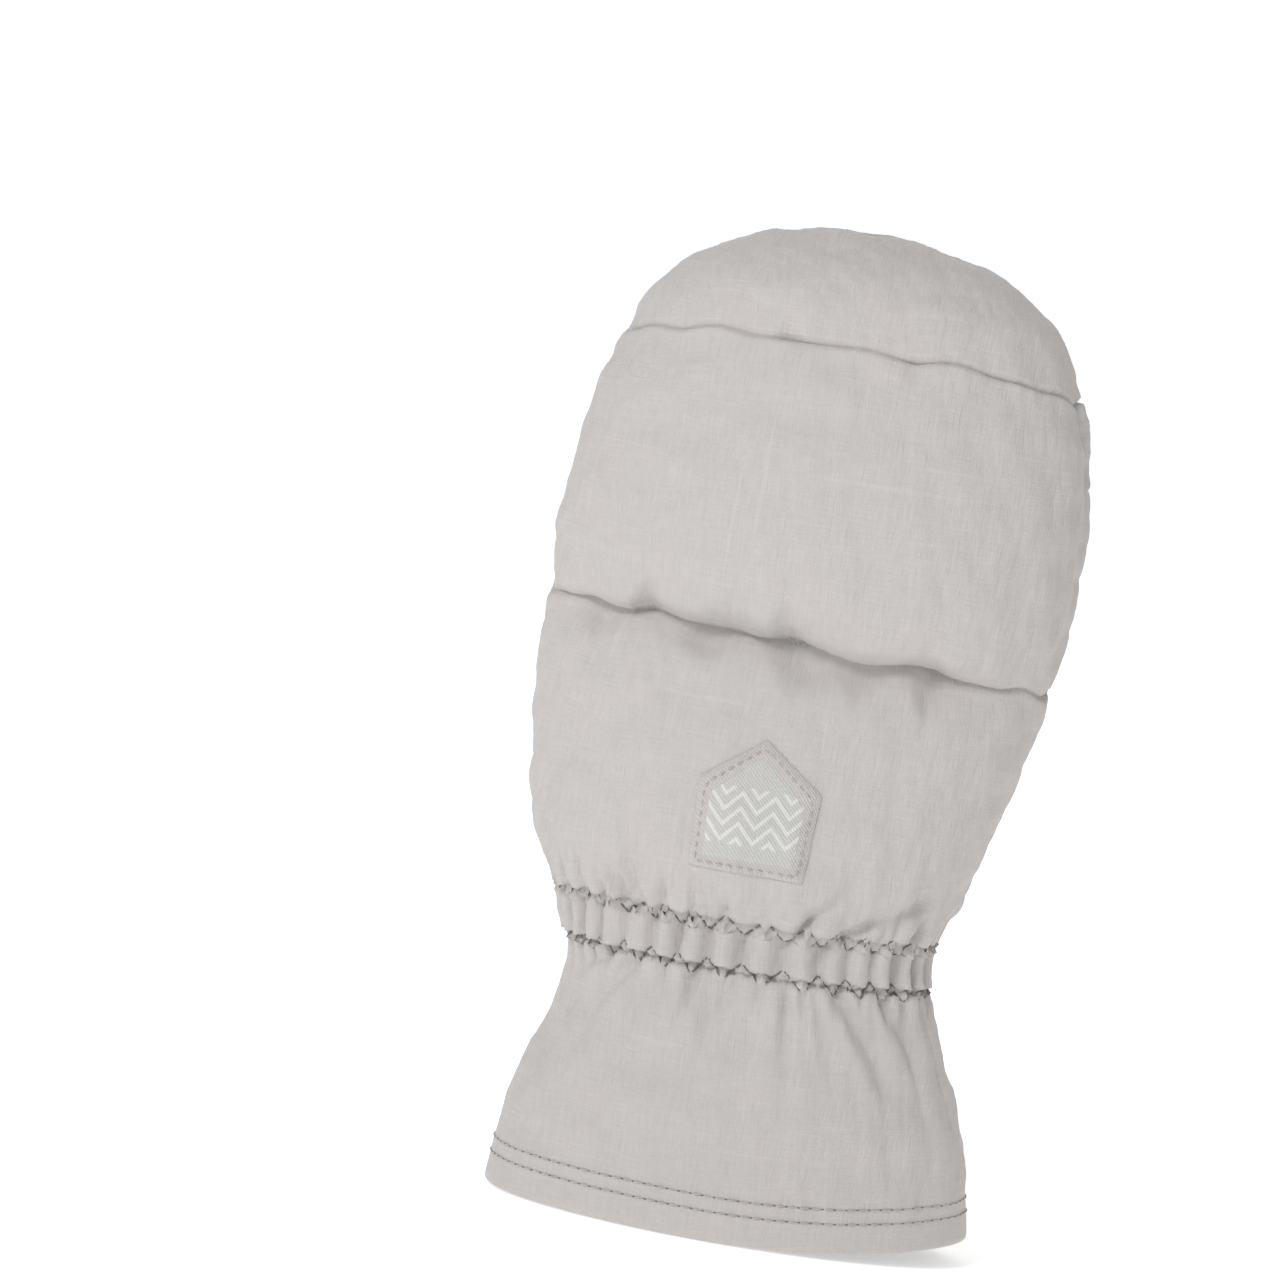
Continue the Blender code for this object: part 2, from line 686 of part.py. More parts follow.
def make_pivots(parts):
    """An empty on each body's hinge line, hung on the body that it turns on, with its pieces hung on it."""
    pivots = {}
    for name, parent, place, pieces in BODIES:
        pivot = bpy.data.objects.new(name + "_pivot", None)
        pivot.empty_display_size = 0.01
        pivot.location = placed(Vector(place))
        parts.objects.link(pivot)
        if parent:
            hang(pivot, pivots[parent])
        for piece in pieces:
            hang(bpy.data.objects[piece], pivot)
        pivots[name] = pivot


def open_bending_lines(thumb, helpers):
    """Wedges cut from the pieces on both sides of the knuckle line and of the thumb's seam."""
    above_knuckle = bending_gap("above_knuckle", KNUCKLE_HINGE_Y, KNUCKLE, 1, helpers)
    below_knuckle = bending_gap("below_knuckle", KNUCKLE_HINGE_Y, KNUCKLE, -1, helpers)
    for name in ("back_hand_panel", "hand_back_wadding", "palm_pad"):
        carve(bpy.data.objects[name], above_knuckle)
    for name in ("back_finger_panel", "finger_back_wadding", "finger_pad"):
        carve(bpy.data.objects[name], below_knuckle)
    above_seam = bending_gap("above_thumb_seam", THUMB_HINGE_Y, THUMB_SEAM, 1, helpers)
    below_seam = bending_gap("below_thumb_seam", THUMB_HINGE_Y, THUMB_SEAM, -1, helpers)
    for name in ("thumb_wadding", "thumb_lining", "thumb_leather"):
        carve(thumb[name], below_seam)
    for name in ("thumb_base_wadding", "thumb_base_lining", "thumb_gusset_leather"):
        carve(thumb[name], above_seam)


def join_thumb_to_hand(thumb, helpers):
    """Cuts the thumb's root out of the hand, and the hand's core out of the thumb's base."""
    thumb_root = solid_of("thumb_root", on_thumb, even_rows(86.0, THUMB_SEAM, 8), THUMB_PUFF + GAP,
                          THUMB_COLUMNS, helpers)
    for name in ("palm_leather_panel", "palm_pad", "hand_lining", "back_hand_panel", "hand_back_wadding"):
        carve(bpy.data.objects[name], thumb_root)
    body_core = solid_of("body_core", on_body, even_rows(84.0, 200.0, 14), GAP, 48, helpers)
    for name in ("thumb_base_panel", "thumb_gusset_leather", "thumb_base_wadding", "thumb_base_lining"):
        carve(thumb[name], body_core)


def main():
    clear_scene()
    parts = new_collection("ski_mitten")
    helpers = new_collection("cutters", hidden=True)
    make_shell(parts)
    make_fill(parts)
    make_palm(parts)
    make_lining(parts)
    thumb = make_thumb(parts)
    make_cuff(parts)
    make_wrist(parts)
    make_stitching(parts)
    make_strip(parts)
    make_patch(parts, helpers)
    open_bending_lines(thumb, helpers)
    join_thumb_to_hand(thumb, helpers)
    make_pivots(parts)


main()
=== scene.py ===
"""Looks of the ski mitten: puffed cloth by simulation, leather palm, stitching, badge and lining.

The cloth skin of the mitten is one mesh on oval sections close to the CAD model's. It is puffed up
as cloth under pressure with its seams held, gathered, and cut into pieces that ride on the bodies
of the frame, or are fixed where they lie between two of them. Lengths are millimetres on the
mitten's own axes until placed() makes them metres.
"""

import math

import bmesh
import bpy
import numpy as np
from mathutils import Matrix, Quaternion, Vector
from mathutils.kdtree import KDTree
from mathutils.bvhtree import BVHTree


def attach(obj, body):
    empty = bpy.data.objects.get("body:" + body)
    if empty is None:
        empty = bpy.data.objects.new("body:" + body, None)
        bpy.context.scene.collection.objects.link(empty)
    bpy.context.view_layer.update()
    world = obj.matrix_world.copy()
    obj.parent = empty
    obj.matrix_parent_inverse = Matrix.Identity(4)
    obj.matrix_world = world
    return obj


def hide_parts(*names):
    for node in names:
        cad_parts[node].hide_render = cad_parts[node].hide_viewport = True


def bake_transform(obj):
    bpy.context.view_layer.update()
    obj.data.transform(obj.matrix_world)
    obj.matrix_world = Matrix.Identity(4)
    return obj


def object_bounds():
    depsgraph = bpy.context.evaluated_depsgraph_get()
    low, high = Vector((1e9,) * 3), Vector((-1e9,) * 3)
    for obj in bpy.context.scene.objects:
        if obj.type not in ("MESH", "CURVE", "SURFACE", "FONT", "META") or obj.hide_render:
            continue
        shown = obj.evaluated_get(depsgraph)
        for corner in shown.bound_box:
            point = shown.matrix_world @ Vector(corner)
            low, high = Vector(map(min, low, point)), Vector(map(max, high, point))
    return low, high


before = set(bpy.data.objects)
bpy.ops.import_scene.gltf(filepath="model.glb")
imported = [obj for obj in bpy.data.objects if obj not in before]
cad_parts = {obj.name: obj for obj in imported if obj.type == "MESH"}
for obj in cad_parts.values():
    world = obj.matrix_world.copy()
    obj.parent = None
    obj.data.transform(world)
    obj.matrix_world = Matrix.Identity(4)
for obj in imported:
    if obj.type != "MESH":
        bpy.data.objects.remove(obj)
size_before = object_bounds()

MM = 0.001
rng = np.random.default_rng(11)

# The mitten's sections: height, thumb-side and far-side half widths, back and palm depths.
BODY_SECTIONS = (
    (0.0, 68.0, 67.5, 40.0, 40.0),
    (30.0, 64.0, 62.0, 36.5, 36.5),
    (55.0, 55.0, 52.5, 32.0, 31.0),
    (80.0, 52.5, 44.0, 27.0, 25.0),
    (95.0, 56.0, 46.5, 27.5, 24.5),
    (120.0, 63.0, 53.5, 28.0, 24.0),
    (163.0, 69.5, 63.5, 27.5, 23.0),
    (200.0, 68.5, 63.5, 27.0, 22.0),
    (225.0, 66.5, 62.0, 25.0, 20.0),
)
THUMB_SECTIONS = (
    (84.0, -23.0, 4.0, 20.0, 14.0),
    (97.0, -29.5, 14.5, 24.5, 16.5),
    (116.0, -33.0, 28.5, 28.0, 18.0),
    (130.0, -35.0, 37.0, 28.5, 18.5),
    (141.0, -36.5, 42.5, 28.0, 18.5),
    (160.0, -37.0, 44.5, 27.5, 18.5),
    (182.0, -34.5, 44.5, 24.5, 18.0),
    (207.0, -30.0, 43.0, 19.5, 16.0),
)
CENTRE = np.array((2.32, -12.15, 0.0))
DOME_START = 225.0
TIP_TOP = 269.0
DOME_BLUNTNESS = 2.25
POLE_ROW = DOME_START + 90.0
TIP_SEAM_ROW = DOME_START + 22.0
THUMB_DOME_START = 204.0
THUMB_TOP = 224.0
THUMB_POLE_ROW = THUMB_DOME_START + 90.0

# Heights of the lines that divide the skin.
HEM_LINE = 15.0
LOWER_ELASTIC = 73.0
UPPER_ELASTIC = 86.0
HAND_LOW = 101.0
KNUCKLE = 163.0
THUMB_SEAM = 141.0
THUMB_SPLIT = 125.0

# The leather palm: its straight sides, then the arch over its top.
LEATHER_MIDDLE = -5.5
LEATHER_HALF = 54.5
ARCH_START = 200.0
ARCH_TOP = 256.0

# The hem turns under: (a row below zero to name it, height, lift), from the facing's top to the edge.
HEM_TURN = ((-19.0, 16.0, -5.0), (-12.0, 9.0, -5.2), (-6.0, 3.0, -5.1), (-4.0, 1.0, -4.6), (-3.0, 0.1, -3.4),
            (-2.0, 0.0, -2.0), (-1.0, 0.4, -0.6))

FABRIC_COLUMNS = 104
LEATHER_COLUMNS = 46
# Columns and turns of the seams between the back of the fingers and the gathered strip round the palm.
SIDE_SEAMS = (13, 90)
SIDE_SEAM_TURNS = (180.0, 357.0)
SAME = 0.01  # rows nearer than this are one row

# The stuffing: how far each chamber of the skin stands out before it is puffed, and its seams sink in.
HAND_PUFF = 6.4
FINGER_PUFF = 9.2
TIP_FLOOR = 5.6
TIP_PUFF = 7.0
SEAM_SINK = 2.4
FLANK_FULLNESS = (2.6, 4.0)  # the least at the knuckle and at the top seam, at the hand's two sides
# Heights, and how far the side next to the thumb swells there beyond the rest.
THUMB_SIDE_SWELL = (
    (64.0, 80.0, 92.0, 104.0, 125.0, 150.0, 185.0, 215.0),
    (0.0, 4.0, 7.0, 7.5, 5.5, 4.5, 2.5, 0.0),
)
ZIGZAG_HEIGHT = 5.0
HEM_RISES = (6.5, 0.5)  # at the far side and at the thumb's side
LEATHER_STOP = 98.0  # below the thumb, turns past this one are cloth


# -------- the mitten's sections


def spline(table, at):
    """The table's columns at a height, read from a smooth curve through its rows."""
    rows = [table[0], *table, table[-1]]
    at = min(max(at, table[0][0]), table[-1][0])
    i = 1
    while i < len(rows) - 3 and at > rows[i + 1][0]:
        i += 1
    before, low, high, after = rows[i - 1 : i + 3]
    span = high[0] - low[0]
    t = (at - low[0]) / span
    values = []
    for column in range(1, len(low)):
        slope_low = (high[column] - before[column]) / max(high[0] - before[0], span)
        slope_high = (after[column] - low[column]) / max(after[0] - low[0], span)
        values.append(
            (2 * t**3 - 3 * t**2 + 1) * low[column]
            + (t**3 - 2 * t**2 + t) * span * slope_low
            + (3 * t**2 - 2 * t**3) * high[column]
            + (t**3 - t**2) * span * slope_high
        )
    return values


def dome(row, start, top, bluntness):
    """(height, share of the width left) for a row: rows past the start are degrees up the dome."""
    if row <= start:
        return row, 1.0
    angle = math.radians(min(row - start, 90.0))
    power = 2 / bluntness
    return start + (top - start) * math.sin(angle) ** power, max(math.cos(angle), 0.0) ** power


def body_section(row):
    """(height, centre x, half width, back depth, palm depth)"""
    z, share = dome(row, DOME_START, TIP_TOP, DOME_BLUNTNESS)
    thumb_side, far_side, back, palm = spline(BODY_SECTIONS, z)
    return z, (far_side - thumb_side) / 2, share * (far_side + thumb_side) / 2, share * back, share * palm


def body_envelope(row, turns):
    z, centre, half, back, palm = body_section(row)
    angle = np.radians(turns)
    depth = np.where(np.sin(angle) > 0, palm, back)
    return np.stack([centre + half * np.cos(angle), depth * np.sin(angle), np.full(len(angle), z)], -1)


def thumb_envelope(row, turns):
    z, share = dome(row, THUMB_DOME_START, THUMB_TOP, 2.0)
    x, y, half_width, half_depth = spline(THUMB_SECTIONS, z)
    angle = np.radians(turns)
    return np.stack([
        x + share * half_width * np.cos(angle),
        y + share * half_depth * np.sin(angle),
        np.full(len(angle), z),
    ], -1)


def lifted(envelope, dome_start, row, turns, lifts):
    """Points that far outside the envelope: level with their row on the walls, square to the dome on it."""
    turns = np.atleast_1d(np.asarray(turns, float))
    lifts = np.broadcast_to(np.asarray(lifts, float), turns.shape)
    if row >= dome_start + 89.9:
        return envelope(row, turns) + lifts[:, None] * np.array((0.0, 0.0, 1.0))
    step = 0.5
    along = envelope(row + step, turns) - envelope(row - step, turns)
    across = envelope(row, turns + step) - envelope(row, turns - step)
    normal = np.cross(across, along)
    normal[:, 2] *= min(max((row - dome_start) / 10.0, 0.0), 1.0)
    normal /= np.linalg.norm(normal, axis=1)[:, None]
    return envelope(row, turns) + normal * lifts[:, None]


def on_body(row, turns, lifts):
    return lifted(body_envelope, DOME_START, row, turns, lifts)


def on_thumb(row, turns, lifts):
    return lifted(thumb_envelope, THUMB_DOME_START, row, turns, lifts)


def placed(points):
    return (np.asarray(points) + CENTRE) * MM


def arch(row, low, high):
    """1 in the middle of a chamber and 0 at its seams, rising steeply beside them."""
    t = min(max((row - low) / (high - low), 0.0), 1.0)
    return math.sqrt(4 * t * (1 - t))


def smooth(x):
    x = np.clip(x, 0.0, 1.0)
    return x * x * (3 - 2 * x)


def bump(x, centre, width):
    return np.exp(-(((x - centre) / width) ** 2))


class Waves:
    """Smooth noise as a sum of sines with seeded directions: one value for each point."""

    def __init__(self, wavelength, count=14, spread=0.5):
        directions = rng.normal(size=(count, 3))
        directions /= np.linalg.norm(directions, axis=1)[:, None]
        lengths = wavelength * (1 + spread * rng.uniform(-1, 1, count))
        self.waves = directions * (2 * math.pi / lengths)[:, None]
        self.phases = rng.uniform(0, 2 * math.pi, count)
        self.scale = math.sqrt(2 / count)

    def __call__(self, points):
        return np.sin(points @ self.waves.T + self.phases).sum(axis=1) * self.scale


# -------- the skin before it is puffed


def leather_edges(row):
    """Turns where the cloth starts, on the thumb side, and ends, on the far side, at a row."""
    z, centre, half, _back, _palm = body_section(row)
    if z < ARCH_START:
        at = body_section(ARCH_START)
        reach, centre, half = LEATHER_HALF, at[1], at[2]
    else:
        reach = LEATHER_HALF * math.sqrt(max(1 - ((z - ARCH_START) / (ARCH_TOP - ARCH_START)) ** 2, 0.0))
    first = math.degrees(math.acos((LEATHER_MIDDLE - reach - centre) / half))
    last = math.degrees(math.acos((LEATHER_MIDDLE + reach - centre) / half))
    return first, 360.0 + last


def row_of_height(z):
    """The dome row at a height."""
    share = (z - DOME_START) / (TIP_TOP - DOME_START)
    return DOME_START + math.degrees(math.asin(share ** (DOME_BLUNTNESS / 2)))


APEX_ROW = row_of_height(ARCH_TOP)
SKIN_MARKS = (1.4, HEM_LINE, LOWER_ELASTIC, UPPER_ELASTIC, HAND_LOW,
              KNUCKLE, DOME_START, TIP_SEAM_ROW, APEX_ROW, POLE_ROW)
SKIN_STEPS = (2.6, 2.4, 1.5, 1.9, 2.3, 2.3, 2.4, 2.4, 2.4)


def rows_between(marks, steps):
    """Rows with one on every mark, and about a step apart between them."""
    rows = [marks[0]]
    for low, high, step in zip(marks, marks[1:], steps):
        count = max(2, round((high - low) / step))
        rows += [low + (high - low) * i / count for i in range(1, count + 1)]
    return rows


def same(row, *marks):
    return min(abs(row - mark) for mark in marks) < SAME


def chamber_lift(row, turns):
    """How far the stuffed skin stands out of the envelope before it is puffed.

    The knuckle seam sinks deep between its chambers, and the top seam only a little. Both are
    shallower at the sides.
    """
    palmward = np.sin(np.radians(turns))
    side = np.where(palmward < 0, 0.62 - 0.38 * palmward, np.clip(0.62 - 0.9 * palmward, 0.0, 1.0))
    flank = np.cos(np.radians(turns)) ** 6
    heel = np.interp(row, *THUMB_SIDE_SWELL) * np.clip(-np.cos(np.radians(turns)), 0.0, 1.0) ** 3
    if row < UPPER_ELASTIC:
        return heel
    sunk = SEAM_SINK * side * (1 - flank)
    if row < KNUCKLE:
        floor = FLANK_FULLNESS[0] * flank * smooth((row - 125) / 30) - sunk * smooth((row - 135) / 20)
        full = HAND_PUFF * arch(row, UPPER_ELASTIC - 4, KNUCKLE) * side - sunk * bump(row, KNUCKLE, 9)
        return np.maximum(full, floor) + heel
    seam_share = smooth((row - KNUCKLE) / (TIP_SEAM_ROW - KNUCKLE))
    beside_seam = sum(bump(turns % 360, t, 7.0) for t in SIDE_SEAM_TURNS)
    valley = 2.6 * arch(row, KNUCKLE - 6, TIP_SEAM_ROW + 8) * beside_seam
    low, high = FLANK_FULLNESS
    floor = (low * (1 - seam_share) + high * seam_share) * flank + TIP_FLOOR * seam_share * (1 - flank)
    if row < TIP_SEAM_ROW:
        full = FINGER_PUFF * arch(row, KNUCKLE, TIP_SEAM_ROW) * side - sunk * bump(row, KNUCKLE, 7)
        return np.maximum(full, floor - sunk * bump(row, KNUCKLE, 14)) - valley + heel
    over = smooth((row - TIP_SEAM_ROW) / 20)
    return floor + (TIP_PUFF - floor) * over - valley


def folds(phase, sharpness):
    """A row of folds, one for each half turn of the phase: rounded ridges and narrow valleys, about zero."""
    return np.abs(np.sin(phase)) ** sharpness - 0.66


def fade(away, reach, power=1.2):
    return np.exp(-((np.maximum(away, 0.0) / reach) ** power))


def gather_phase(angle):
    """The gathers' phase round the wrist: the cloth is drawn in wherever it is a multiple of pi."""
    return 16.5 * angle + 0.5 * np.sin(3 * angle + 1.0) + 0.3 * np.sin(7 * angle + 0.4)


def zigzag_lines(phase):
    """Heights of the two zigzags: nearest each other where the cloth is drawn in."""
    swing = ZIGZAG_HEIGHT * (0.5 - np.abs((phase / math.pi) % 1.0 * 2 - 1))
    return UPPER_ELASTIC - 0.5 + swing, LOWER_ELASTIC - swing


def pleats(z, angle):
    """Gathers at the elastics: leaves between the zigzags, puckers outside them, and soft long folds."""
    palm = smooth((np.sin(angle) + 0.1) / 0.3)
    phase = gather_phase(angle)
    upper, lower = zigzag_lines(phase)
    up, down = z - upper, lower - z
    uneven = 1.0 + 0.2 * np.sin(4 * angle + 1.7) + 0.2 * np.sin(9 * angle + 0.3)
    leaf = np.abs(np.sin(phase)) ** 0.7
    pucker = np.abs(np.cos(phase)) ** 0.7
    soft_end = fade(-up, 9.0)
    inside = smooth(-up / 1.6) * ((1 - palm) * smooth(-down / 1.6) + palm * soft_end)
    lift = inside * ((4.4 * leaf - 2.6) * uneven + 0.6)
    lift += smooth(up / 1.6) * fade(up, 6.0) * (3.5 * pucker - 2.3) * uneven
    lift += (1 - palm) * smooth(down / 1.6) * fade(down, 6.0) * (3.3 * pucker - 2.2) * uneven
    lift -= 0.9 * (bump(up, 0.0, 0.9) + (1 - palm) * bump(down, 0.0, 0.9))
    up, down = np.maximum(up, 0.0), np.maximum(down, 0.0)
    sway = 1.2 * np.sin(2 * angle + 0.7) + 0.9 * np.sin(4 * angle + 2.0)
    below = folds(6.0 * angle + sway, 0.8) + 0.6 * folds(9.5 * angle - 1.3 * sway + 0.015 * down + 1.0, 0.9)
    below *= (1 - np.exp(-down / 5)) * fade(down, 36.0, 1.5) * smooth((z - 8.0) / 26.0)
    turned = angle + 0.012 * up * np.cos(angle)
    above = folds(7.0 * turned + np.sin(3 * angle + 0.5) + 0.4, 0.8) + 0.5 * folds(12.0 * turned + 2.0, 0.8)
    above *= (1 - np.exp(-up / 4)) * fade(up, 21.0, 1.5)
    return lift + (1 - 0.6 * palm) * (2.4 * below + 2.0 * above)


# Long folds across the back from the elastics: place across, 1 up or -1 down, lean, reach, half width, depth.
LONG_FOLDS = (
    (-44.0, 1, -0.35, 15.0, 2.0, 2.2),
    (-37.0, 1, -0.70, 19.0, 2.4, 3.0),
    (-31.0, 1, -0.85, 15.0, 2.0, 2.4),
    (-13.0, 1, -0.60, 20.0, 2.6, 2.0),
    (10.0, 1, 1.10, 24.0, 2.6, 2.6),
    (22.0, 1, 1.70, 34.0, 2.8, 2.8),
    (31.0, 1, 0.90, 22.0, 2.2, 2.0),
    (37.0, 1, 1.40, 16.0, 2.0, 2.2),
    (-38.0, -1, -1.50, 22.0, 2.6, 2.4),
    (-31.0, -1, -0.70, 26.0, 2.6, 2.2),
    (-14.0, -1, -0.25, 24.0, 2.4, 1.7),
    (-2.0, -1, -0.45, 20.0, 2.4, 1.6),
    (10.0, -1, 0.15, 26.0, 2.4, 1.8),
    (17.0, -1, 0.40, 22.0, 2.2, 1.6),
    (23.0, -1, 0.75, 36.0, 3.0, 2.8),
    (34.0, -1, 0.80, 30.0, 2.6, 2.4),
)


def long_folds(points):
    """Narrow valleys with raised sides that fan out across the back from the elastics."""
    lift = np.zeros(len(points))
    for x, way, lean, reach, width, depth in LONG_FOLDS:
        root = UPPER_ELASTIC if way > 0 else LOWER_ELASTIC
        size = math.hypot(lean, 1.0)
        across, up = points[:, 0] - x, way * (points[:, 2] - root)
        along = (across * lean + up) / size
        share = np.clip(along / reach, 0.0, 1.0)
        off = (across - up * lean) / size + 0.9 * lean * share**2
        u = (off / (width * (0.75 + 0.6 * share))) ** 2
        lift -= depth * (1 - 1.5 * u) * np.exp(-u) * smooth((along + 1.0) / 4.0) * (1 - share) ** 0.8
    return lift * smooth((-8.0 - points[:, 1]) / 10.0)


def seam_shift(z, turns):
    """The seams aren't level: the knuckle seam falls to the far side, the top seam falls to both ends."""
    across = np.cos(np.radians(turns))
    ripple = 0.5 * np.sin(np.radians(turns) * 11) + 0.4 * np.sin(np.radians(turns) * 17 + 1)
    knuckle = (-3.2 * across + ripple) * math.exp(-(((z - KNUCKLE) / 24) ** 2))
    back = np.clip(-np.sin(np.radians(turns)), 0.0, 1.0)
    knuckle -= 2.6 * back * bump(z, KNUCKLE + 8, 6.0)
    tip_z = body_section(TIP_SEAM_ROW)[0]
    tip = (1.5 - 7.0 * across**4 + ripple) * math.exp(-(((z - tip_z) / 16) ** 2))
    return knuckle + tip


def hem_rise(z, turns):
    """The hem is lowest in the middle of the back and of the palm, and rises to both sides."""
    across = np.cos(np.radians(turns))
    return across**2 * np.where(across > 0, *HEM_RISES) * math.exp(-((max(z, 0.0) / 45.0) ** 2))


def skin_ring(row, turns, leather):
    """One ring of the skin. leather is true for its points on the palm."""
    if row < 0:
        _row, z, lift = next(turn for turn in HEM_TURN if turn[0] == row)
        points = on_body(z, turns, lift)
        points[:, 2] += hem_rise(0.0, turns)
        return points
    z = body_section(row)[0]
    lift = chamber_lift(row, turns)
    points = on_body(row, turns, np.where(leather, 0.0, lift))
    points[:, 2] += np.where(leather, 0.3, 1.0) * seam_shift(z, turns) + hem_rise(z, turns)
    return points


def leather_border():
    """Points along the edge of the palm leather, up the thumb side, over the arch and down the far side."""
    rows = np.linspace(UPPER_ELASTIC, APEX_ROW, 700)
    first = [on_body(row, leather_edges(row)[0], 0.0)[0] for row in rows]
    last = [on_body(row, leather_edges(row)[1], 0.0)[0] for row in rows]
    points = np.array(first + last[::-1])
    return points, np.concatenate([[0.0], np.cumsum(np.linalg.norm(np.diff(points, axis=0), axis=1))])


BORDER, BORDER_LENGTH = leather_border()


def rim_pleats(points):
    """Folds of the cloth gathered to the leather's edge: broad ones square to it, and puckers between."""
    found = [BORDER_TREE.find(point) for point in points]
    away, along = np.array([f[2] for f in found]), BORDER_LENGTH[[f[1] for f in found]]
    top = bump(along, BORDER_LENGTH[-1] / 2, 75.0)
    count = np.interp(along, BORDER_LENGTH, RIM_COUNT) + 0.22 * np.sin(along / 7.9 + 1.0)
    broad = np.abs(np.sin(math.pi * count)) ** 0.5 - 0.74
    small = np.abs(np.sin(math.pi * count * 2.7 + 0.6)) ** 0.7 - 0.6
    side = smooth((points[:, 1] + 16.0 - 15.0 * top) / 14.0)
    rise = 1 - np.exp(-away / 2.0)
    return (0.55 + 0.45 * top) * side * rise * (
        6.5 * np.exp(-((away / (15.0 + 9.0 * top)) ** 1.6)) * broad + 2.0 * np.exp(-away / 7.0) * small
    )


def rim_count():
    """How many broad folds there are up to each place along the leather's edge: wider ones at the top."""
    pitch = 12.0 + 8.0 * bump(BORDER_LENGTH, BORDER_LENGTH[-1] / 2, 60.0)
    return np.concatenate([[0.0], np.cumsum(np.diff(BORDER_LENGTH) / pitch[1:])])


RIM_COUNT = rim_count()
BORDER_TREE = KDTree(len(BORDER))
for number, place in enumerate(BORDER):
    BORDER_TREE.insert(place, number)
BORDER_TREE.balance()


CUFF, BAND, FOOT, BACK, FINGERS, TIP, LEATHER_BAND, LEATHER_FOOT, LEATHER = range(9)


def face_piece(row, column, turn):
    """Which piece a face belongs to, from its lower row, its column and its turn."""
    on_leather = column >= FABRIC_COLUMNS
    if row < LOWER_ELASTIC - 0.1:
        return CUFF
    if row < HAND_LOW - 0.1:
        on_leather = on_leather and turn % 360.0 < LEATHER_STOP
        if row < UPPER_ELASTIC - 0.1:
            return LEATHER_BAND if on_leather else BAND
        return LEATHER_FOOT if on_leather else FOOT
    if on_leather:
        return LEATHER
    if row < KNUCKLE - 0.1:
        return BACK
    on_back = SIDE_SEAMS[0] <= column < SIDE_SEAMS[1]
    return FINGERS if on_back and row < TIP_SEAM_ROW - 0.1 else TIP


def ring_turns(first, last, cloth_columns, hide_columns):
    """A ring's turns: over the cloth from first to last, and back to first over the leather."""
    cloth = first + (last - first) * np.arange(cloth_columns + 1) / cloth_columns
    hide = last + (first + 360 - last) * np.arange(1, hide_columns) / hide_columns
    return np.concatenate([cloth, hide])


def skin_turns(row):
    """The skin's turns at a row: over the leather's arch all are cloth, and at the pole there is one."""
    first, last = leather_edges(row if row < APEX_ROW - SAME else APEX_ROW)
    if row < APEX_ROW - SAME:
        return ring_turns(first, last, FABRIC_COLUMNS, LEATHER_COLUMNS)
    if row < POLE_ROW - SAME:
        return first + 360.0 * np.arange(FABRIC_COLUMNS) / FABRIC_COLUMNS
    return np.array([first])


def skin_seam(row, count):
    """1 for the points of a ring that are sewn down."""
    seam = np.zeros(count)
    if LOWER_ELASTIC <= row < APEX_ROW + SAME:
        seam[0] = 1.0
        if count > FABRIC_COLUMNS:
            seam[FABRIC_COLUMNS] = 1.0
    if row < HEM_LINE or same(row, LOWER_ELASTIC, UPPER_ELASTIC, POLE_ROW):
        seam[:] = 1.0
    if same(row, KNUCKLE, TIP_SEAM_ROW):
        seam[SIDE_SEAMS[0] : SIDE_SEAMS[1] + 1] = 1.0
    if KNUCKLE < row < TIP_SEAM_ROW:
        seam[list(SIDE_SEAMS)] = 1.0
    return seam


def build_skin():
    """The whole skin as one mesh."""
    rings = []
    for row in [turn[0] for turn in HEM_TURN] + rows_between(SKIN_MARKS, SKIN_STEPS):
        turns = skin_turns(row)
        leather = (np.arange(len(turns)) > FABRIC_COLUMNS) & (row >= LOWER_ELASTIC)
        rings.append((row, turns, skin_ring(row, turns, leather), skin_seam(row, len(turns))))
    return ringed_mesh("skin", rings, face_piece)


def ringed_mesh(name, rings, piece_of):
    """(row, turns, points, seam) rings joined into a mesh.

    Each point's row, turn and share of seam, and each face's piece, become attributes that subdivision keeps.
    """
    rows, turns, points, seams = zip(*rings)
    counts = [len(ring) for ring in turns]
    faces, kinds, low = [], [], 0
    for k, (n_low, n_high) in enumerate(zip(counts, counts[1:])):
        high = low + n_low
        for i in range(n_low):
            j = (i + 1) % n_low
            if n_high == n_low:
                faces.append((low + i, low + j, high + j, high + i))
            elif 1 < n_high and i < n_high:
                faces.append((low + i, low + i + 1, high + (i + 1) % n_high, high + i))
            else:
                faces.append((low + i, low + j, high))
            kinds.append(piece_of(rows[k], i, turns[k][i]))
        low = high
    mesh = bpy.data.meshes.new(name)
    mesh.from_pydata(np.concatenate(points).tolist(), [], faces)
    turn = np.radians(np.concatenate(turns))
    for field, values in (
        ("row", np.repeat(rows, counts)),
        ("turn_cos", np.cos(turn)),
        ("turn_sin", np.sin(turn)),
        ("seam", np.concatenate(seams)),
    ):
        mesh.attributes.new(field, "FLOAT", "POINT").data.foreach_set("value", values.astype(np.float32))
    mesh.attributes.new("piece", "INT", "FACE").data.foreach_set("value", np.array(kinds, np.int32))
    return mesh


# -------- cloth


def read(data, field, kind, width=1):
    """One field of every item of a mesh's data."""
    values = np.empty(len(data) * width, kind)
    data.foreach_get(field, values)
    return values if width == 1 else values.reshape(-1, width)


def coords(mesh):
    return read(mesh.vertices, "co", float, 3)


def set_coords(mesh, points):
    mesh.vertices.foreach_set("co", np.asarray(points, np.float32).ravel())
    mesh.update()


def attribute(mesh, name):
    return read(mesh.attributes[name].data, "value", np.float32)


def row_numbers(mesh):
    return attribute(mesh, "row").astype(float)


def normals_of(mesh):
    return read(mesh.vertex_normals, "vector", np.float32, 3).astype(float)


def link(name, data):
    """A new object in the scene."""
    obj = bpy.data.objects.new(name, data)
    bpy.context.scene.collection.objects.link(obj)
    return obj


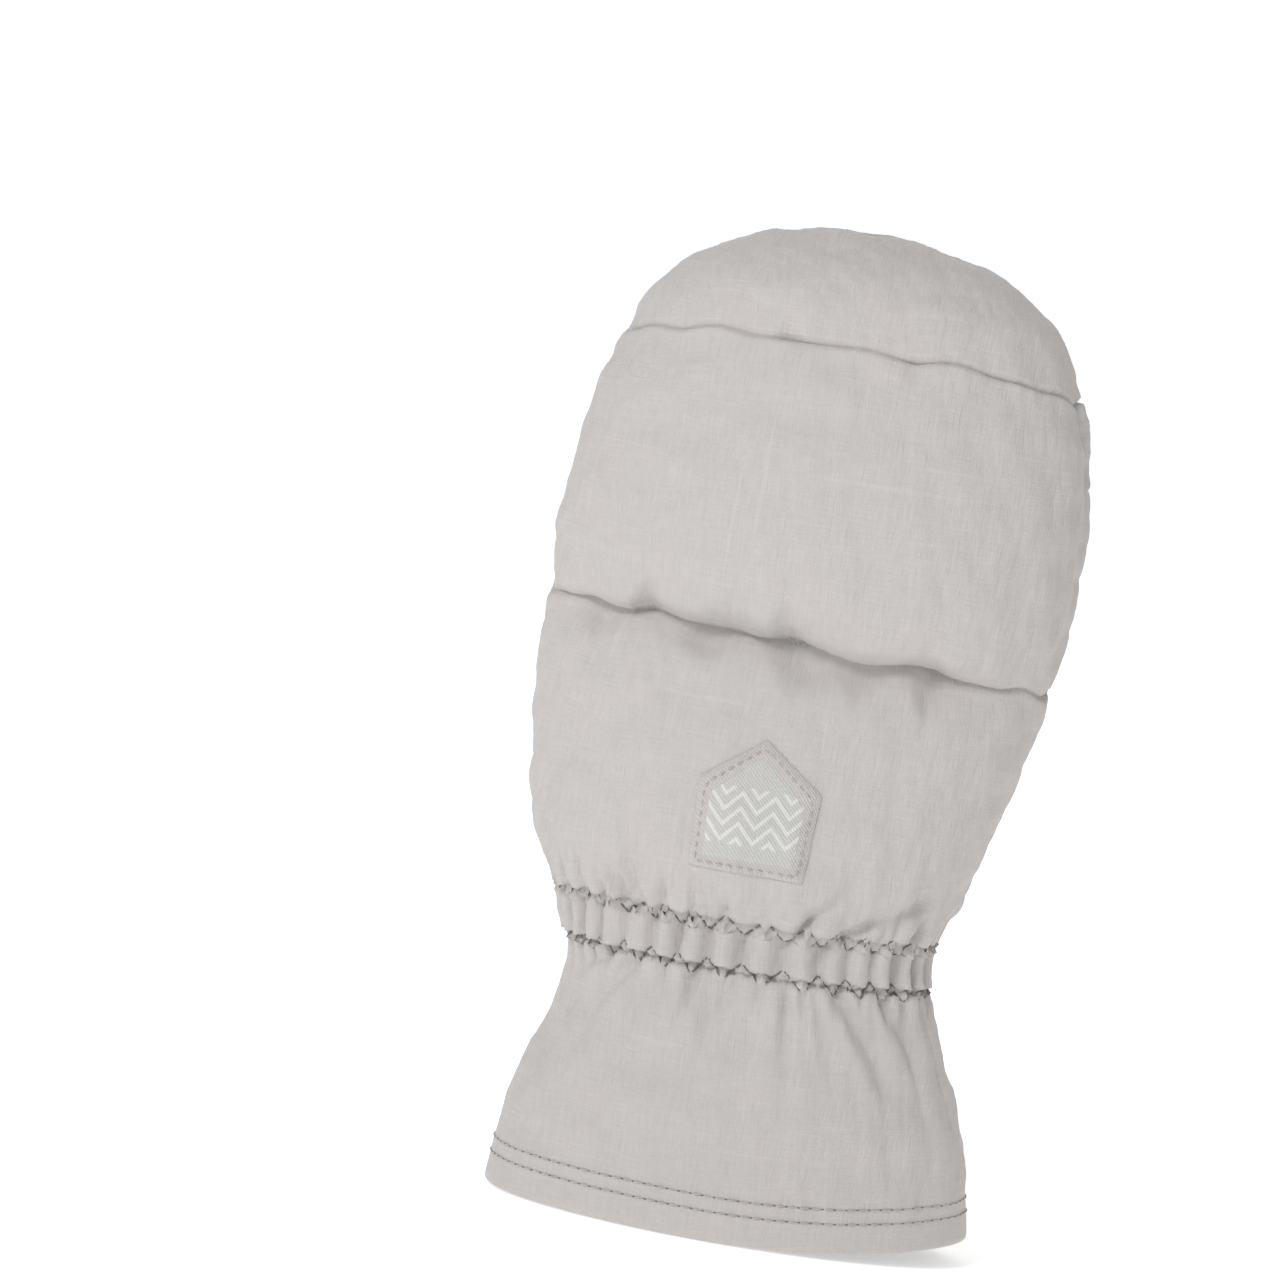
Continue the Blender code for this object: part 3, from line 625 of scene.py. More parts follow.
def evaluated(obj):
    """A new mesh with the object's modifiers applied. The object itself is removed."""
    done = bpy.data.meshes.new_from_object(obj.evaluated_get(bpy.context.evaluated_depsgraph_get()))
    bpy.data.objects.remove(obj)
    return done


CLOTH_SETTINGS = {
    "quality": 5,
    "mass": 0.15,
    "tension_stiffness": 25,
    "compression_stiffness": 25,
    "shear_stiffness": 10,
    "bending_stiffness": 0.15,
    "tension_damping": 8,
    "compression_damping": 8,
    "air_damping": 3,
    "use_pressure": True,
    "shrink_min": 0.0,
    "shrink_max": -0.13,  # the extra cloth, where slack is 1
}
SIM_SCALE = 10.0
PUFF_PRESSURE = 2.2
PUFF_FRAMES = 26
MOST_MOVE = 9.0


def puff(mesh, slack, pressure):
    """Puffs the mesh up as cloth held at its seams. slack is each point's share of extra cloth."""
    start = coords(mesh)
    set_coords(mesh, start * MM * SIM_SCALE)
    obj = link("puff", mesh)
    for name, weights in (("held", attribute(mesh, "seam")), ("slack", slack)):
        group = obj.vertex_groups.new(name=name)
        for i, weight in enumerate(weights):
            if weight > 0:
                group.add([i], float(weight), "REPLACE")
    cloth = obj.modifiers.new("cloth", "CLOTH")
    for name, value in CLOTH_SETTINGS.items():
        setattr(cloth.settings, name, value)
    cloth.settings.uniform_pressure_force = pressure
    cloth.settings.vertex_group_mass = "held"
    cloth.settings.vertex_group_shrink = "slack"
    cloth.settings.effector_weights.gravity = 0.0
    cloth.collision_settings.use_collision = False
    cloth.collision_settings.use_self_collision = False
    for number in range(1, PUFF_FRAMES + 1):
        bpy.context.scene.frame_set(number)
    done = evaluated(obj)
    move = coords(done) / (MM * SIM_SCALE) - start
    bpy.context.scene.frame_set(1)
    bpy.data.meshes.remove(done)
    length = np.linalg.norm(move, axis=1)[:, None]
    set_coords(mesh, start + move * np.minimum(1.0, MOST_MOVE / np.maximum(length, 1e-6)))


def puffed(mesh, slack, pressure):
    """The mesh puffed up between its seams, with one level of subdivision applied."""
    puff(mesh, slack, pressure)
    obj = link("finer", mesh)
    subdivide = obj.modifiers.new("subdivide", "SUBSURF")
    subdivide.levels = 1
    subdivide.render_levels = 1
    return evaluated(obj)


def arc_table():
    """Arc length round a typical section against the turn, from the middle of the back."""
    turns = np.linspace(-360.0, 720.0, 1081)
    step = math.radians(1.0)
    pace = np.hypot(WEAVE_HALF * np.sin(np.radians(turns)), WEAVE_DEPTH * np.cos(np.radians(turns))) * step
    length = np.concatenate([[0.0], np.cumsum((pace[1:] + pace[:-1]) / 2)])
    return turns, length - np.interp(270.0, turns, length)


# A typical section's half width and depth.
WEAVE_HALF, WEAVE_DEPTH = 64.0, 25.0
ARC_TURNS, ARC_LENGTHS = arc_table()


def face_corners(mesh):
    """The vertex at every corner of every face, and how many corners each face has."""
    return read(mesh.loops, "vertex_index", np.int32), read(mesh.polygons, "loop_total", np.int32)


def map_weave(mesh, half_width, up_dome):
    """A UV map in metres of cloth: round the section, and up the rows."""
    row = row_numbers(mesh)
    turn = np.degrees(np.arctan2(attribute(mesh, "turn_sin"), attribute(mesh, "turn_cos")))
    unique, back = np.unique(np.round(row, 2), return_inverse=True)
    widths = np.array([max(half_width(r), 6.0) / WEAVE_HALF for r in unique])[back]
    up = np.where(row > up_dome, up_dome + (row - up_dome) * 0.85, row)
    corners, counts = face_corners(mesh)
    starts = read(mesh.polygons, "loop_start", np.int32)
    lead = np.repeat(turn[corners[starts]] % 360.0, counts)
    around = turn[corners]
    around = around + 360.0 * np.round((lead - around) / 360.0)
    u = np.interp(around, ARC_TURNS, ARC_LENGTHS) * widths[corners]
    layer = mesh.uv_layers.new(name="weave")
    layer.data.foreach_set("uv", np.stack([u * MM, up[corners] * MM], -1).astype(np.float32).ravel())


def crease(mesh, seam_rows, seam_depth, dimples=()):
    """Fine relief on a puffed mesh: seams drawn in, puckers beside them, and a faint crinkle of the cloth.

    seam_rows are (row of a seam across the back, depth of its puckers), and dimples are (the seam's row,
    1 above it or -1 below, place across, half width, height, depth).
    """
    points, row, seam = coords(mesh), row_numbers(mesh), attribute(mesh, "seam")
    around = np.arctan2(points[:, 1], points[:, 0])
    outside = smooth((0.25 - attribute(mesh, "turn_sin") * np.sign(seam_depth)) / 0.3)
    pulls = np.zeros(len(points))
    for line, depth in seam_rows:
        wave = np.abs(np.sin(around * 13.0 + 0.7 * np.sin(around * 2.0 + line)))
        pulls += depth * outside * np.exp(-((np.abs(row - line) / 5.0) ** 1.3)) * (wave**0.6 - 0.7)
    for line, way, x, width, height, depth in dimples:
        up = way * (row - line)
        narrow = width * np.clip(1.2 - 0.8 * up / height, 0.25, 1.2)
        dent = np.exp(-(((points[:, 0] - x) / narrow) ** 2) - (np.abs(up) / height) ** 2.2)
        pulls -= outside * depth * dent * (up >= 0)
    crinkle = CRINKLE(points * np.array((1.0, 1.0, 0.45))) * 0.10 + SOFT(points) * 0.28
    sewn = (seam > 0.9) & (row > HEM_LINE) & (row < row.max() - 1.0)
    raise_skin(mesh, crinkle * smooth((row - 4.0) / 10.0) + pulls - abs(seam_depth) * sewn)


def raise_skin(mesh, lift):
    """Moves each point that far out along its normal."""
    set_coords(mesh, coords(mesh) + normals_of(mesh) * lift[:, None])


# Dents where the wadding pulls at the seams across the back.
DIMPLES = (
    (KNUCKLE, 1, -45.0, 4.0, 9.0, 3.4),
    (KNUCKLE, 1, -20.0, 9.0, 10.0, 2.2),
    (KNUCKLE, 1, -5.0, 5.0, 13.0, 3.4),
    (KNUCKLE, 1, 34.0, 7.0, 6.0, 2.4),
    (KNUCKLE, -1, -58.0, 5.0, 8.0, 3.2),
    (KNUCKLE, -1, -26.0, 7.0, 8.0, 2.4),
    (KNUCKLE, -1, 1.0, 8.0, 11.0, 3.6),
    (KNUCKLE, -1, 17.0, 6.0, 8.0, 2.4),
    (KNUCKLE, -1, 36.0, 5.0, 11.0, 3.4),
    (TIP_SEAM_ROW, 1, -17.0, 2.6, 9.0, 1.7),
    (TIP_SEAM_ROW, -1, -13.0, 3.5, 5.0, 1.2),
    (TIP_SEAM_ROW, -1, 18.0, 3.0, 7.0, 1.6),
    (TIP_SEAM_ROW, -1, 42.0, 4.0, 5.0, 1.2),
)
CRINKLE = Waves(3.4, count=40)
SOFT = Waves(16.0, count=20)


def keep_normals(mesh):
    """The whole mesh's shading as an attribute, so that pieces cut from it still shade as one surface."""
    whole = mesh.attributes.new("whole_normal", "FLOAT_VECTOR", "POINT")
    whole.data.foreach_set("vector", normals_of(mesh).astype(np.float32).ravel())


def on_hide(mesh):
    """1 for the points of the palm's leather, its edge included."""
    kinds = read(mesh.attributes["piece"].data, "value", np.int32)
    corners, counts = face_corners(mesh)
    hide = np.zeros(len(mesh.vertices))
    hide[corners[np.repeat(kinds >= LEATHER_BAND, counts)]] = 1.0
    return hide


def gather(mesh):
    """Draws the skin in at the elastics and along the palm's edge."""
    points, row, hide = coords(mesh), row_numbers(mesh), on_hide(mesh)
    angle = np.arctan2(attribute(mesh, "turn_sin"), attribute(mesh, "turn_cos")).astype(float)
    on_patch = bump(points[:, 0], -5.0, 17.0) * bump(points[:, 2], 121.0, 20.0) * (points[:, 1] < 0)
    lift = pleats(row, angle) * (row < 170.0) * (1 - 0.35 * hide)
    lift = (lift + long_folds(points)) * (1 - 0.6 * on_patch)
    rim = (row > LOWER_ELASTIC) & (hide < 0.5)
    lift[rim] += rim_pleats(points[rim]) * smooth((row[rim] - 84.0) / 12.0)
    raise_skin(mesh, lift)


def shape_skin():
    """The skin of the hand and cuff, puffed, refined, gathered and creased."""
    mesh = build_skin()
    row = row_numbers(mesh)
    palm = smooth((np.degrees(attribute(mesh, "turn_sin").astype(float)) - 20) / 15)
    slack = np.where(row < LOWER_ELASTIC, 0.45, 1.0)
    slack *= 1 - 0.85 * palm * (row > LOWER_ELASTIC) * (row < TIP_SEAM_ROW)
    mesh = puffed(mesh, slack, PUFF_PRESSURE)
    gather(mesh)
    crease(mesh, ((KNUCKLE, 0.35), (TIP_SEAM_ROW, 0.25)), 1.7, DIMPLES)
    map_weave(mesh, lambda row: body_section(row)[2], DOME_START)
    keep_normals(mesh)
    return mesh


# -------- the thumb

THUMB_ROWS_LOW = 88.0
THUMB_CLOTH_COLUMNS = 34
THUMB_HIDE_COLUMNS = 30
THUMB_CLOTH = (30.0, 190.0)
ROOT_CLOTH_LAST = 215.0
THUMB_ZONES = (HAND_LOW, THUMB_SPLIT, THUMB_SEAM)  # the rows where its foot, root and lower part stop
THUMB_MARKS = (THUMB_ROWS_LOW, *THUMB_ZONES, THUMB_DOME_START, THUMB_POLE_ROW)
THUMB_STEPS = (2.2, 2.2, 2.0, 2.2, 6.0)


def thumb_lift(row, cloth):
    """How far the thumb's skin stands out: full between the seams, and pinched at the one across its back."""
    if row < THUMB_SEAM:
        full = 1.2 + 3.6 * arch(row, THUMB_ROWS_LOW - 12, THUMB_SEAM)
        full *= smooth((row - THUMB_ROWS_LOW + 2) / 20.0)
    else:
        full = 0.8 + 3.4 * arch(row, THUMB_SEAM, THUMB_POLE_ROW + 60)
    return np.where(cloth, full, min(full, 1.6))


def thumb_seam_shift(row, turns):
    """The seam across the thumb falls a little towards the fingers."""
    return -2.2 * np.cos(np.radians(turns)) * math.exp(-(((row - THUMB_SEAM) / 18) ** 2))


def thumb_ring(row):
    """(row, turns, points, seam) of one ring of the thumb's skin."""
    first, last = THUMB_CLOTH
    last += (ROOT_CLOTH_LAST - last) * float(smooth((THUMB_SEAM - row) / 40.0))
    turns = ring_turns(first, last, THUMB_CLOTH_COLUMNS, THUMB_HIDE_COLUMNS)
    if row > THUMB_POLE_ROW - SAME:
        turns = turns[:1]
    cloth = np.arange(len(turns)) <= THUMB_CLOTH_COLUMNS
    points = on_thumb(row, turns, thumb_lift(row, cloth))
    points[:, 2] += thumb_seam_shift(row, turns)
    seam = np.zeros(len(turns))
    seam[[0, min(THUMB_CLOTH_COLUMNS, len(turns) - 1)]] = 1.0
    if same(row, THUMB_SEAM):
        seam[: THUMB_CLOTH_COLUMNS + 1] = 1.0
    if same(row, THUMB_ROWS_LOW):
        seam[:] = 1.0
    return row, turns, points, seam


def thumb_face_piece(row, column, _turn):
    """Twice the zone that a face is in, and one more on leather."""
    return 2 * sum(row > top - 0.1 for top in THUMB_ZONES) + (column >= THUMB_CLOTH_COLUMNS)


def build_thumb():
    """The thumb's skin as one mesh: cloth outside, leather inside, from inside the palm to its tip."""
    rings = [thumb_ring(row) for row in rows_between(THUMB_MARKS, THUMB_STEPS)]
    return ringed_mesh("thumb_skin", rings, thumb_face_piece)


def thumb_half_width(row):
    z, share = dome(row, THUMB_DOME_START, THUMB_TOP, 2.0)
    return spline(THUMB_SECTIONS, z)[2] * share * 1.6


def gather_thumb(mesh):
    """Folds that rise from the elastic up the thumb's base, and puckers along the cloth's two edges."""
    points, row = coords(mesh), row_numbers(mesh)
    angle = np.arctan2(points[:, 1], points[:, 0])
    up = row - UPPER_ELASTIC
    rise = folds(15 * angle + 0.9 * np.sin(4 * angle), 0.75) + 0.8 * folds(8 * angle + 0.012 * up + 1.0, 0.8)
    turn = np.degrees(np.arctan2(attribute(mesh, "turn_sin"), attribute(mesh, "turn_cos"))) % 360.0
    edge = bump(turn, THUMB_CLOTH[0] + 9.0, 9.0) + bump(turn, THUMB_CLOTH[1] - 12.0, 12.0)
    pucker = edge * folds(row * math.pi / 8.0 + 1.3 * np.sin(row / 9.0), 0.6)
    raise_skin(mesh, 1.7 * rise * fade(up, 22.0, 1.5) + 0.9 * pucker * smooth((row - 104.0) / 12.0))


THUMB_DIMPLES = (
    (THUMB_SEAM, 1, -57.0, 5.0, 9.0, 1.6),
    (THUMB_SEAM, 1, -31.0, 6.0, 7.0, 1.2),
    (THUMB_SEAM, -1, -48.0, 7.0, 9.0, 1.8),
    (THUMB_SEAM, -1, -22.0, 5.0, 8.0, 1.4),
)


def shape_thumb():
    """The thumb's skin, puffed, refined and creased."""
    mesh = build_thumb()
    hide = attribute(mesh, "turn_sin").astype(float) < math.sin(math.radians(THUMB_CLOTH[0]))
    mesh = puffed(mesh, np.where(hide, 0.35, 0.8), PUFF_PRESSURE * 0.8)
    gather_thumb(mesh)
    crease(mesh, ((THUMB_SEAM, 1.1),), -1.3, THUMB_DIMPLES)
    map_weave(mesh, thumb_half_width, THUMB_DOME_START)
    keep_normals(mesh)
    return mesh


def cut_out(whole, name, *pieces):
    """A new object from some of the skin's faces, in metres, that keeps the whole skin's shading."""
    bm = bmesh.new()
    bm.from_mesh(whole)
    kind = bm.faces.layers.int["piece"]
    unwanted = [face for face in bm.faces if face[kind] not in pieces]
    bmesh.ops.delete(bm, geom=unwanted, context="FACES")
    mesh = bpy.data.meshes.new(name)
    bm.to_mesh(mesh)
    bm.free()
    whole_normals = read(mesh.attributes["whole_normal"].data, "vector", np.float32, 3)
    set_coords(mesh, placed(coords(mesh)))
    mesh.shade_smooth()
    mesh.normals_split_custom_set_from_vertices(whole_normals)
    return link(name, mesh)


# -------- finding the puffed surface


class Surface:
    """The puffed skin, asked for points by row and turn, or from the back or the palm."""

    def __init__(self, mesh):
        faces = [tuple(face.vertices) for face in mesh.polygons]
        self.tree = BVHTree.FromPolygons([Vector(p) for p in coords(mesh)], faces)

    def at(self, row, turn):
        """(point, outward normal) in millimetres."""
        outer, inner = on_body(row, turn, 26.0)[0], on_body(row, turn, -16.0)[0]
        toward = Vector(inner - outer)
        point, normal, _face, _gap = self.tree.ray_cast(Vector(outer), toward.normalized(), toward.length)
        if point is None:
            point, normal = Vector(inner), -toward.normalized()
        if normal.dot(toward) > 0:
            normal = -normal
        return np.array(point), np.array(normal)

    def from_side(self, x, z, way, lift):
        """(point, outward normal) found going along Y, towards way, from outside."""
        start = Vector((x, -90.0 * way, z))
        point, normal, _face, _gap = self.tree.ray_cast(start, Vector((0, way, 0)), 120.0)
        if normal.y * way > 0:
            normal = -normal
        return np.array(point + normal * lift), np.array(normal)

    def from_back(self, x, z):
        return self.from_side(x, z, 1, 0.0)

    def from_palm(self, x, z, lift):
        return self.from_side(x, z, -1, lift)


# -------- meshes from lists


class Lists:
    """Vertices and faces gathered from many small pieces into one mesh, in millimetres."""

    def __init__(self):
        self.points = []
        self.faces = []

    def add(self, points, faces):
        start = len(self.points)
        self.points += [tuple(p) for p in points]
        self.faces += [tuple(start + i for i in face) for face in faces]

    def tube(self, path, normals, radii, sides=6, flat=1.0):
        """A round or flattened tube along a path, closed at both ends."""
        path, normals = np.asarray(path), np.asarray(normals)
        tangent = np.gradient(path, axis=0)
        tangent /= np.maximum(np.linalg.norm(tangent, axis=1)[:, None], 1e-9)
        across = np.cross(tangent, normals)
        across /= np.maximum(np.linalg.norm(across, axis=1)[:, None], 1e-9)
        up = np.cross(across, tangent)
        points = []
        for centre, a, b, radius in zip(path, across, up, np.broadcast_to(radii, len(path))):
            for k in range(sides):
                angle = 2 * math.pi * k / sides
                points.append(centre + radius * (a * math.cos(angle) + b * flat * math.sin(angle)))
        faces = []
        for i in range(len(path) - 1):
            for k in range(sides):
                j = (k + 1) % sides
                faces.append((i * sides + k, i * sides + j, (i + 1) * sides + j, (i + 1) * sides + k))
        faces.append(tuple(range(sides))[::-1])
        faces.append(tuple((len(path) - 1) * sides + k for k in range(sides)))
        self.add(points, faces)

    def object(self, name, flat_angle=None):
        mesh = bpy.data.meshes.new(name)
        mesh.from_pydata([tuple(p) for p in placed(np.array(self.points))], [], self.faces)
        mesh.shade_smooth()
        if flat_angle:
            mesh.set_sharp_from_angle(angle=math.radians(flat_angle))
        return link(name, mesh)


def smoothed(points, passes, closed=False):
    """Points moved towards the mean of their neighbours."""
    points = np.array(points, float)
    for _ in range(passes):
        before, after = np.roll(points, 1, axis=0), np.roll(points, -1, axis=0)
        mean = 0.25 * before + 0.5 * points + 0.25 * after
        if not closed:
            mean[0], mean[-1] = points[0], points[-1]
        points = mean
    return points


def spaced(points, normals, step):
    """A path and its normals, resampled at even steps."""
    points, normals = np.asarray(points), np.asarray(normals)
    length = np.concatenate([[0.0], np.cumsum(np.linalg.norm(np.diff(points, axis=0), axis=1))])
    places = np.linspace(0.0, length[-1], max(2, round(length[-1] / step) + 1))
    path, up = (
        np.stack([np.interp(places, length, values[:, k]) for k in range(3)], -1)
        for values in (points, normals)
    )
    return path, up / np.linalg.norm(up, axis=1)[:, None]


def stitch_run(name, runs, stitch, gap, radius, late=0.0):
    """Short lengths of thread along each (points, normals) run, their ends dipping into the cloth.

    late shifts them by that share of a stitch and its gap, which puts short dark lengths as painted shade in
    each needle hole.
    """
    lists = Lists()
    shape = np.array((-0.55, 0.1, 0.42, 0.42, 0.1, -0.55)) * radius * 1.6
    half = 0.5 * stitch / (stitch + gap)
    for points, normals in runs:
        path, up = spaced(points, normals, stitch + gap)
        for a, b, n in zip(path, path[1:], up):
            share = late + np.linspace(0.5 - half, 0.5 + half, len(shape))
            line = a + (b - a) * share[:, None] + n * shape[:, None]
            lists.tube(line, np.tile(n, (len(shape), 1)), radius * np.array((0.6, 0.95, 1, 1, 0.95, 0.6)))
    return lists.object(name)


def zigzag_stitch(name, surface, which, first, last):
    """A zigzag of thread over an elastic, its legs dipping into the cloth at their ends and in the middle."""
    table = np.radians(np.linspace(first, last, 721))
    phases = gather_phase(table)
    quarters = phases * 2 / math.pi
    marks = np.arange(math.ceil(quarters[0]), math.floor(quarters[-1]) + 1) * math.pi / 2
    turns = np.degrees(np.interp(marks, phases, table))
    heights = zigzag_lines(marks)[which]
    dips = np.array((-0.5, 0.15, 0.25, 0.15, -0.3, 0.15, 0.25, 0.15, -0.5))
    lists = Lists()
    ends = np.stack([heights, turns], -1)
    for a, b in zip(ends, ends[1:]):
        found = [surface.at(*(a + (b - a) * share)) for share in np.linspace(0.0, 1.0, len(dips))]
        normals = smoothed([f[1] for f in found], 3)
        normals /= np.linalg.norm(normals, axis=1)[:, None]
        lists.tube(smoothed([f[0] for f in found], 1) + normals * dips[:, None], normals, 0.22)
    return lists.object(name)


def outline(grid):
    """The cells round the edge of a grid, in order."""
    sides = [line[-1] for line in grid[1:]], [line[0] for line in grid[-2:0:-1]]
    return [*grid[0], *sides[0], *grid[-1][-2::-1], *sides[1]]


def ribbon(name, grid, thickness):
    """A thin closed slab on a grid of (point, normal), with its edges rounded by a fine taper."""
    points = np.array([[cell[0] for cell in line] for line in grid])
    normals = np.array([[cell[1] for cell in line] for line in grid])
    rows, columns = points.shape[:2]
    edge = np.ones((rows, columns))
    edge[0, :] = edge[-1, :] = edge[:, 0] = edge[:, -1] = 0.35
    top = points + normals * (thickness * edge)[:, :, None]
    base = points - normals * 0.3
    lists = Lists()
    faces = []
    count = rows * columns
    for i in range(rows - 1):
        for a in range(i * columns, (i + 1) * columns - 1):
            b, c, d = a + 1, a + columns + 1, a + columns
            faces += [(a, b, c, d), (count + d, count + c, count + b, count + a)]
    rim = outline([list(range(i * columns, (i + 1) * columns)) for i in range(rows)])
    for a, b in zip(rim, rim[1:] + rim[:1]):
        faces.append((a, count + a, count + b, b))
    lists.add(np.concatenate([top.reshape(-1, 3), base.reshape(-1, 3)]), faces)
    obj = lists.object(name, 50)
    bm = bmesh.new()
    bm.from_mesh(obj.data)
    bmesh.ops.recalc_face_normals(bm, faces=bm.faces)
    bm.to_mesh(obj.data)
    bm.free()
    return obj


# -------- materials


class Shader:
    """A small helper that adds nodes to a new material and joins them."""

    def __init__(self, name, roughness, sheen=0.0, specular=0.5):
        self.material = bpy.data.materials.new(name)
        self.material.use_nodes = True
        self.tree = self.material.node_tree
        self.surface = self.tree.nodes["Principled BSDF"]
        self.surface.inputs["Roughness"].default_value = roughness
        self.surface.inputs["Sheen Weight"].default_value = sheen
        self.surface.inputs["Sheen Roughness"].default_value = 0.6
        self.surface.inputs["Specular IOR Level"].default_value = specular

    def node(self, kind, links=(), **values):
        """A node of that kind. links feed its inputs by name or number, and values set its properties."""
        made = self.tree.nodes.new(kind)
        for key, value in values.items():
            setattr(made, key, value)
        for key, value in dict(links).items():
            if isinstance(value, bpy.types.NodeSocket):
                self.tree.links.new(value, made.inputs[key])
            else:
                made.inputs[key].default_value = (*value, 1.0) if kind == "ShaderNodeMix" and key else value
        return made

    def maths(self, operation, a, b=0.0, c=0.0):
        return self.node("ShaderNodeMath", {0: a, 1: b, 2: c}, operation=operation).outputs[0]

    def weave_map(self, across=1000.0, up=1000.0):
        """The cloth's own map, in millimetres unless scaled."""
        uv = self.node("ShaderNodeUVMap", uv_map="weave").outputs["UV"]
        return self.node("ShaderNodeMapping", {"Vector": uv, "Scale": (across, up, 1.0)}).outputs["Vector"]

    def place_map(self, scale=(1000.0, 1000.0, 1000.0)):
        """Place on the mitten in millimetres, for pieces with no cloth map."""
        place = self.node("ShaderNodeTexCoord").outputs["Object"]
        return self.node("ShaderNodeMapping", {"Vector": place, "Scale": scale}).outputs["Vector"]

    def noise(self, vector, scale, detail=2.0, roughness=0.5, distortion=0.0):
        links = {"Vector": vector, "Scale": scale, "Detail": detail,
                 "Roughness": roughness, "Distortion": distortion}
        return self.node("ShaderNodeTexNoise", links).outputs["Fac"]

    def wave(self, vector, scale, distortion, direction, detail=1.0):
        links = {"Vector": vector, "Scale": scale, "Distortion": distortion, "Detail": detail}
        return self.node("ShaderNodeTexWave", links, bands_direction=direction).outputs["Fac"]

    def ramp(self, value, low, high, to_low=0.0, to_high=1.0):
        links = {"Value": value, "From Min": low, "From Max": high, "To Min": to_low, "To Max": to_high}
        return self.node("ShaderNodeMapRange", links).outputs["Result"]

    def mix(self, share, a, b, blend_type="MIX"):
        links = {0: share, 6: a, 7: b}
        return self.node("ShaderNodeMix", links, data_type="RGBA", blend_type=blend_type).outputs[2]

    def tint(self, base, mask, share, colour):
        """The base, with a share of another colour where the mask is."""
        return self.mix(self.maths("MULTIPLY", mask, share), base, colour)

    def relief(self, *layers):
        """A normal from layers of (height, distance, strength), one on the other."""
        links = {}
        for height, distance, strength in layers:
            links |= {"Height": height, "Distance": distance, "Strength": strength}
            links["Normal"] = self.node("ShaderNodeBump", links).outputs["Normal"]
        return links["Normal"]

    def finish(self, colour=None, normal=None, roughness=None):
        for key, value in (("Base Color", colour), ("Normal", normal), ("Roughness", roughness)):
            if value is not None:
                self.tree.links.new(value, self.surface.inputs[key])
        return self.material


def shade(colour, factor):
    return tuple(channel * factor for channel in colour)


FABRIC_COLOUR = (0.560, 0.530, 0.514)
HIDE_COLOUR = (0.800, 0.800, 0.765)
STRIP_COLOUR = (0.690, 0.690, 0.660)
THREAD_COLOUR = (0.215, 0.208, 0.200)
PATCH_COLOUR = (0.575, 0.570, 0.550)
FLEECE_COLOUR = (0.640, 0.620, 0.600)
RIBBON_COLOUR = (0.012, 0.012, 0.013)
# The patch's printed zigzags: shift across, width and slope of a peak, height of a row, foot and top.
MOTIF_SHIFT = 2.0
MOTIF_PEAK = 9.0
MOTIF_SLOPE = 1.1
MOTIF_STEP = 4.2
MOTIF_LOW = 108.0
MOTIF_HIGH = 124.0


def cloth_material(name, colour):
    """Matte woven shell: slubby threads both ways, lighter ones in a loose grid, and an upright crinkle."""
    s = Shader(name, 0.82, sheen=0.12, specular=0.25)
    weft = s.noise(s.weave_map(120.0, 2600.0), 1.0, 1.0)
    warp = s.noise(s.weave_map(2600.0, 120.0), 1.0, 1.0)
    threads = s.maths("ADD", weft, warp)
    grid = []
    for across, up, gate in ((22.0, 620.0, (40.0, 320.0)), (620.0, 22.0, (320.0, 40.0))):
        line = s.ramp(s.noise(s.weave_map(across, up), 1.0, 0.0), 0.68, 0.76)
        faint = s.ramp(s.noise(s.weave_map(*gate), 1.0, 1.0), 0.42, 0.66)
        grid.append(s.maths("MULTIPLY", line, faint))
    grid = s.maths("MAXIMUM", *grid)
    tone = s.ramp(threads, 0.7, 1.3)
    base = s.mix(tone, shade(colour, 0.945), shade(colour, 1.045))
    base = s.tint(base, grid, 0.30, shade(colour, 1.16))
    cloud = s.ramp(s.noise(s.place_map(), 0.02, 2.0), 0.35, 0.65)
    base = s.mix(cloud, s.mix(1.0, base, (0.975, 0.985, 0.99), "MULTIPLY"), base)
    crinkle = s.noise(s.weave_map(900.0, 170.0), 1.0, 2.0, 0.55, 0.6)
    grit = s.noise(s.weave_map(), 2.2, 1.0)
    normal = s.relief((crinkle, 0.00026, 1.0), (threads, 0.00012, 0.9), (grit, 0.00008, 1.0))
    return s.finish(base, normal, s.ramp(threads, 0.7, 1.3, 0.86, 0.76))


def hide_material(name, colour, grain_size=1.0):
    """Soft leather: pebbled cells, fine wrinkles across the hand, a faint sheen on the tops of the grain."""
    s = Shader(name, 0.52, sheen=0.04, specular=0.35)
    place = s.place_map()
    bent = s.noise(place, 0.35, 2.0)
    links = {"Vector": place, "Scale": 0.95 / grain_size, "Randomness": 0.95}
    cells = s.node("ShaderNodeTexVoronoi", links, feature="SMOOTH_F1").outputs["Distance"]
    pits = s.noise(place, 2.4 / grain_size, 3.0, 0.6)
    wrinkle = s.noise(s.place_map((110.0, 110.0, 620.0)), 1.0, 3.0, 0.6, 0.8)
    wide = s.noise(s.place_map((28.0, 28.0, 150.0)), 1.0, 2.0, 0.55, 1.2)
    base = s.mix(s.ramp(cells, 0.1, 0.75), shade(colour, 1.02), shade(colour, 0.955))
    base = s.tint(base, s.ramp(bent, 0.4, 0.7), 0.5, shade(colour, 0.965))
    base = s.tint(base, s.ramp(wrinkle, 0.52, 0.68), 0.18, shade(colour, 0.86))
    normal = s.relief((wide, 0.0011, 0.7), (wrinkle, 0.00035, 0.8), (cells, 0.00022 * grain_size, -0.8),
                      (pits, 0.00010, 0.8))
    return s.finish(base, normal, s.ramp(cells, 0.1, 0.75, 0.46, 0.62))


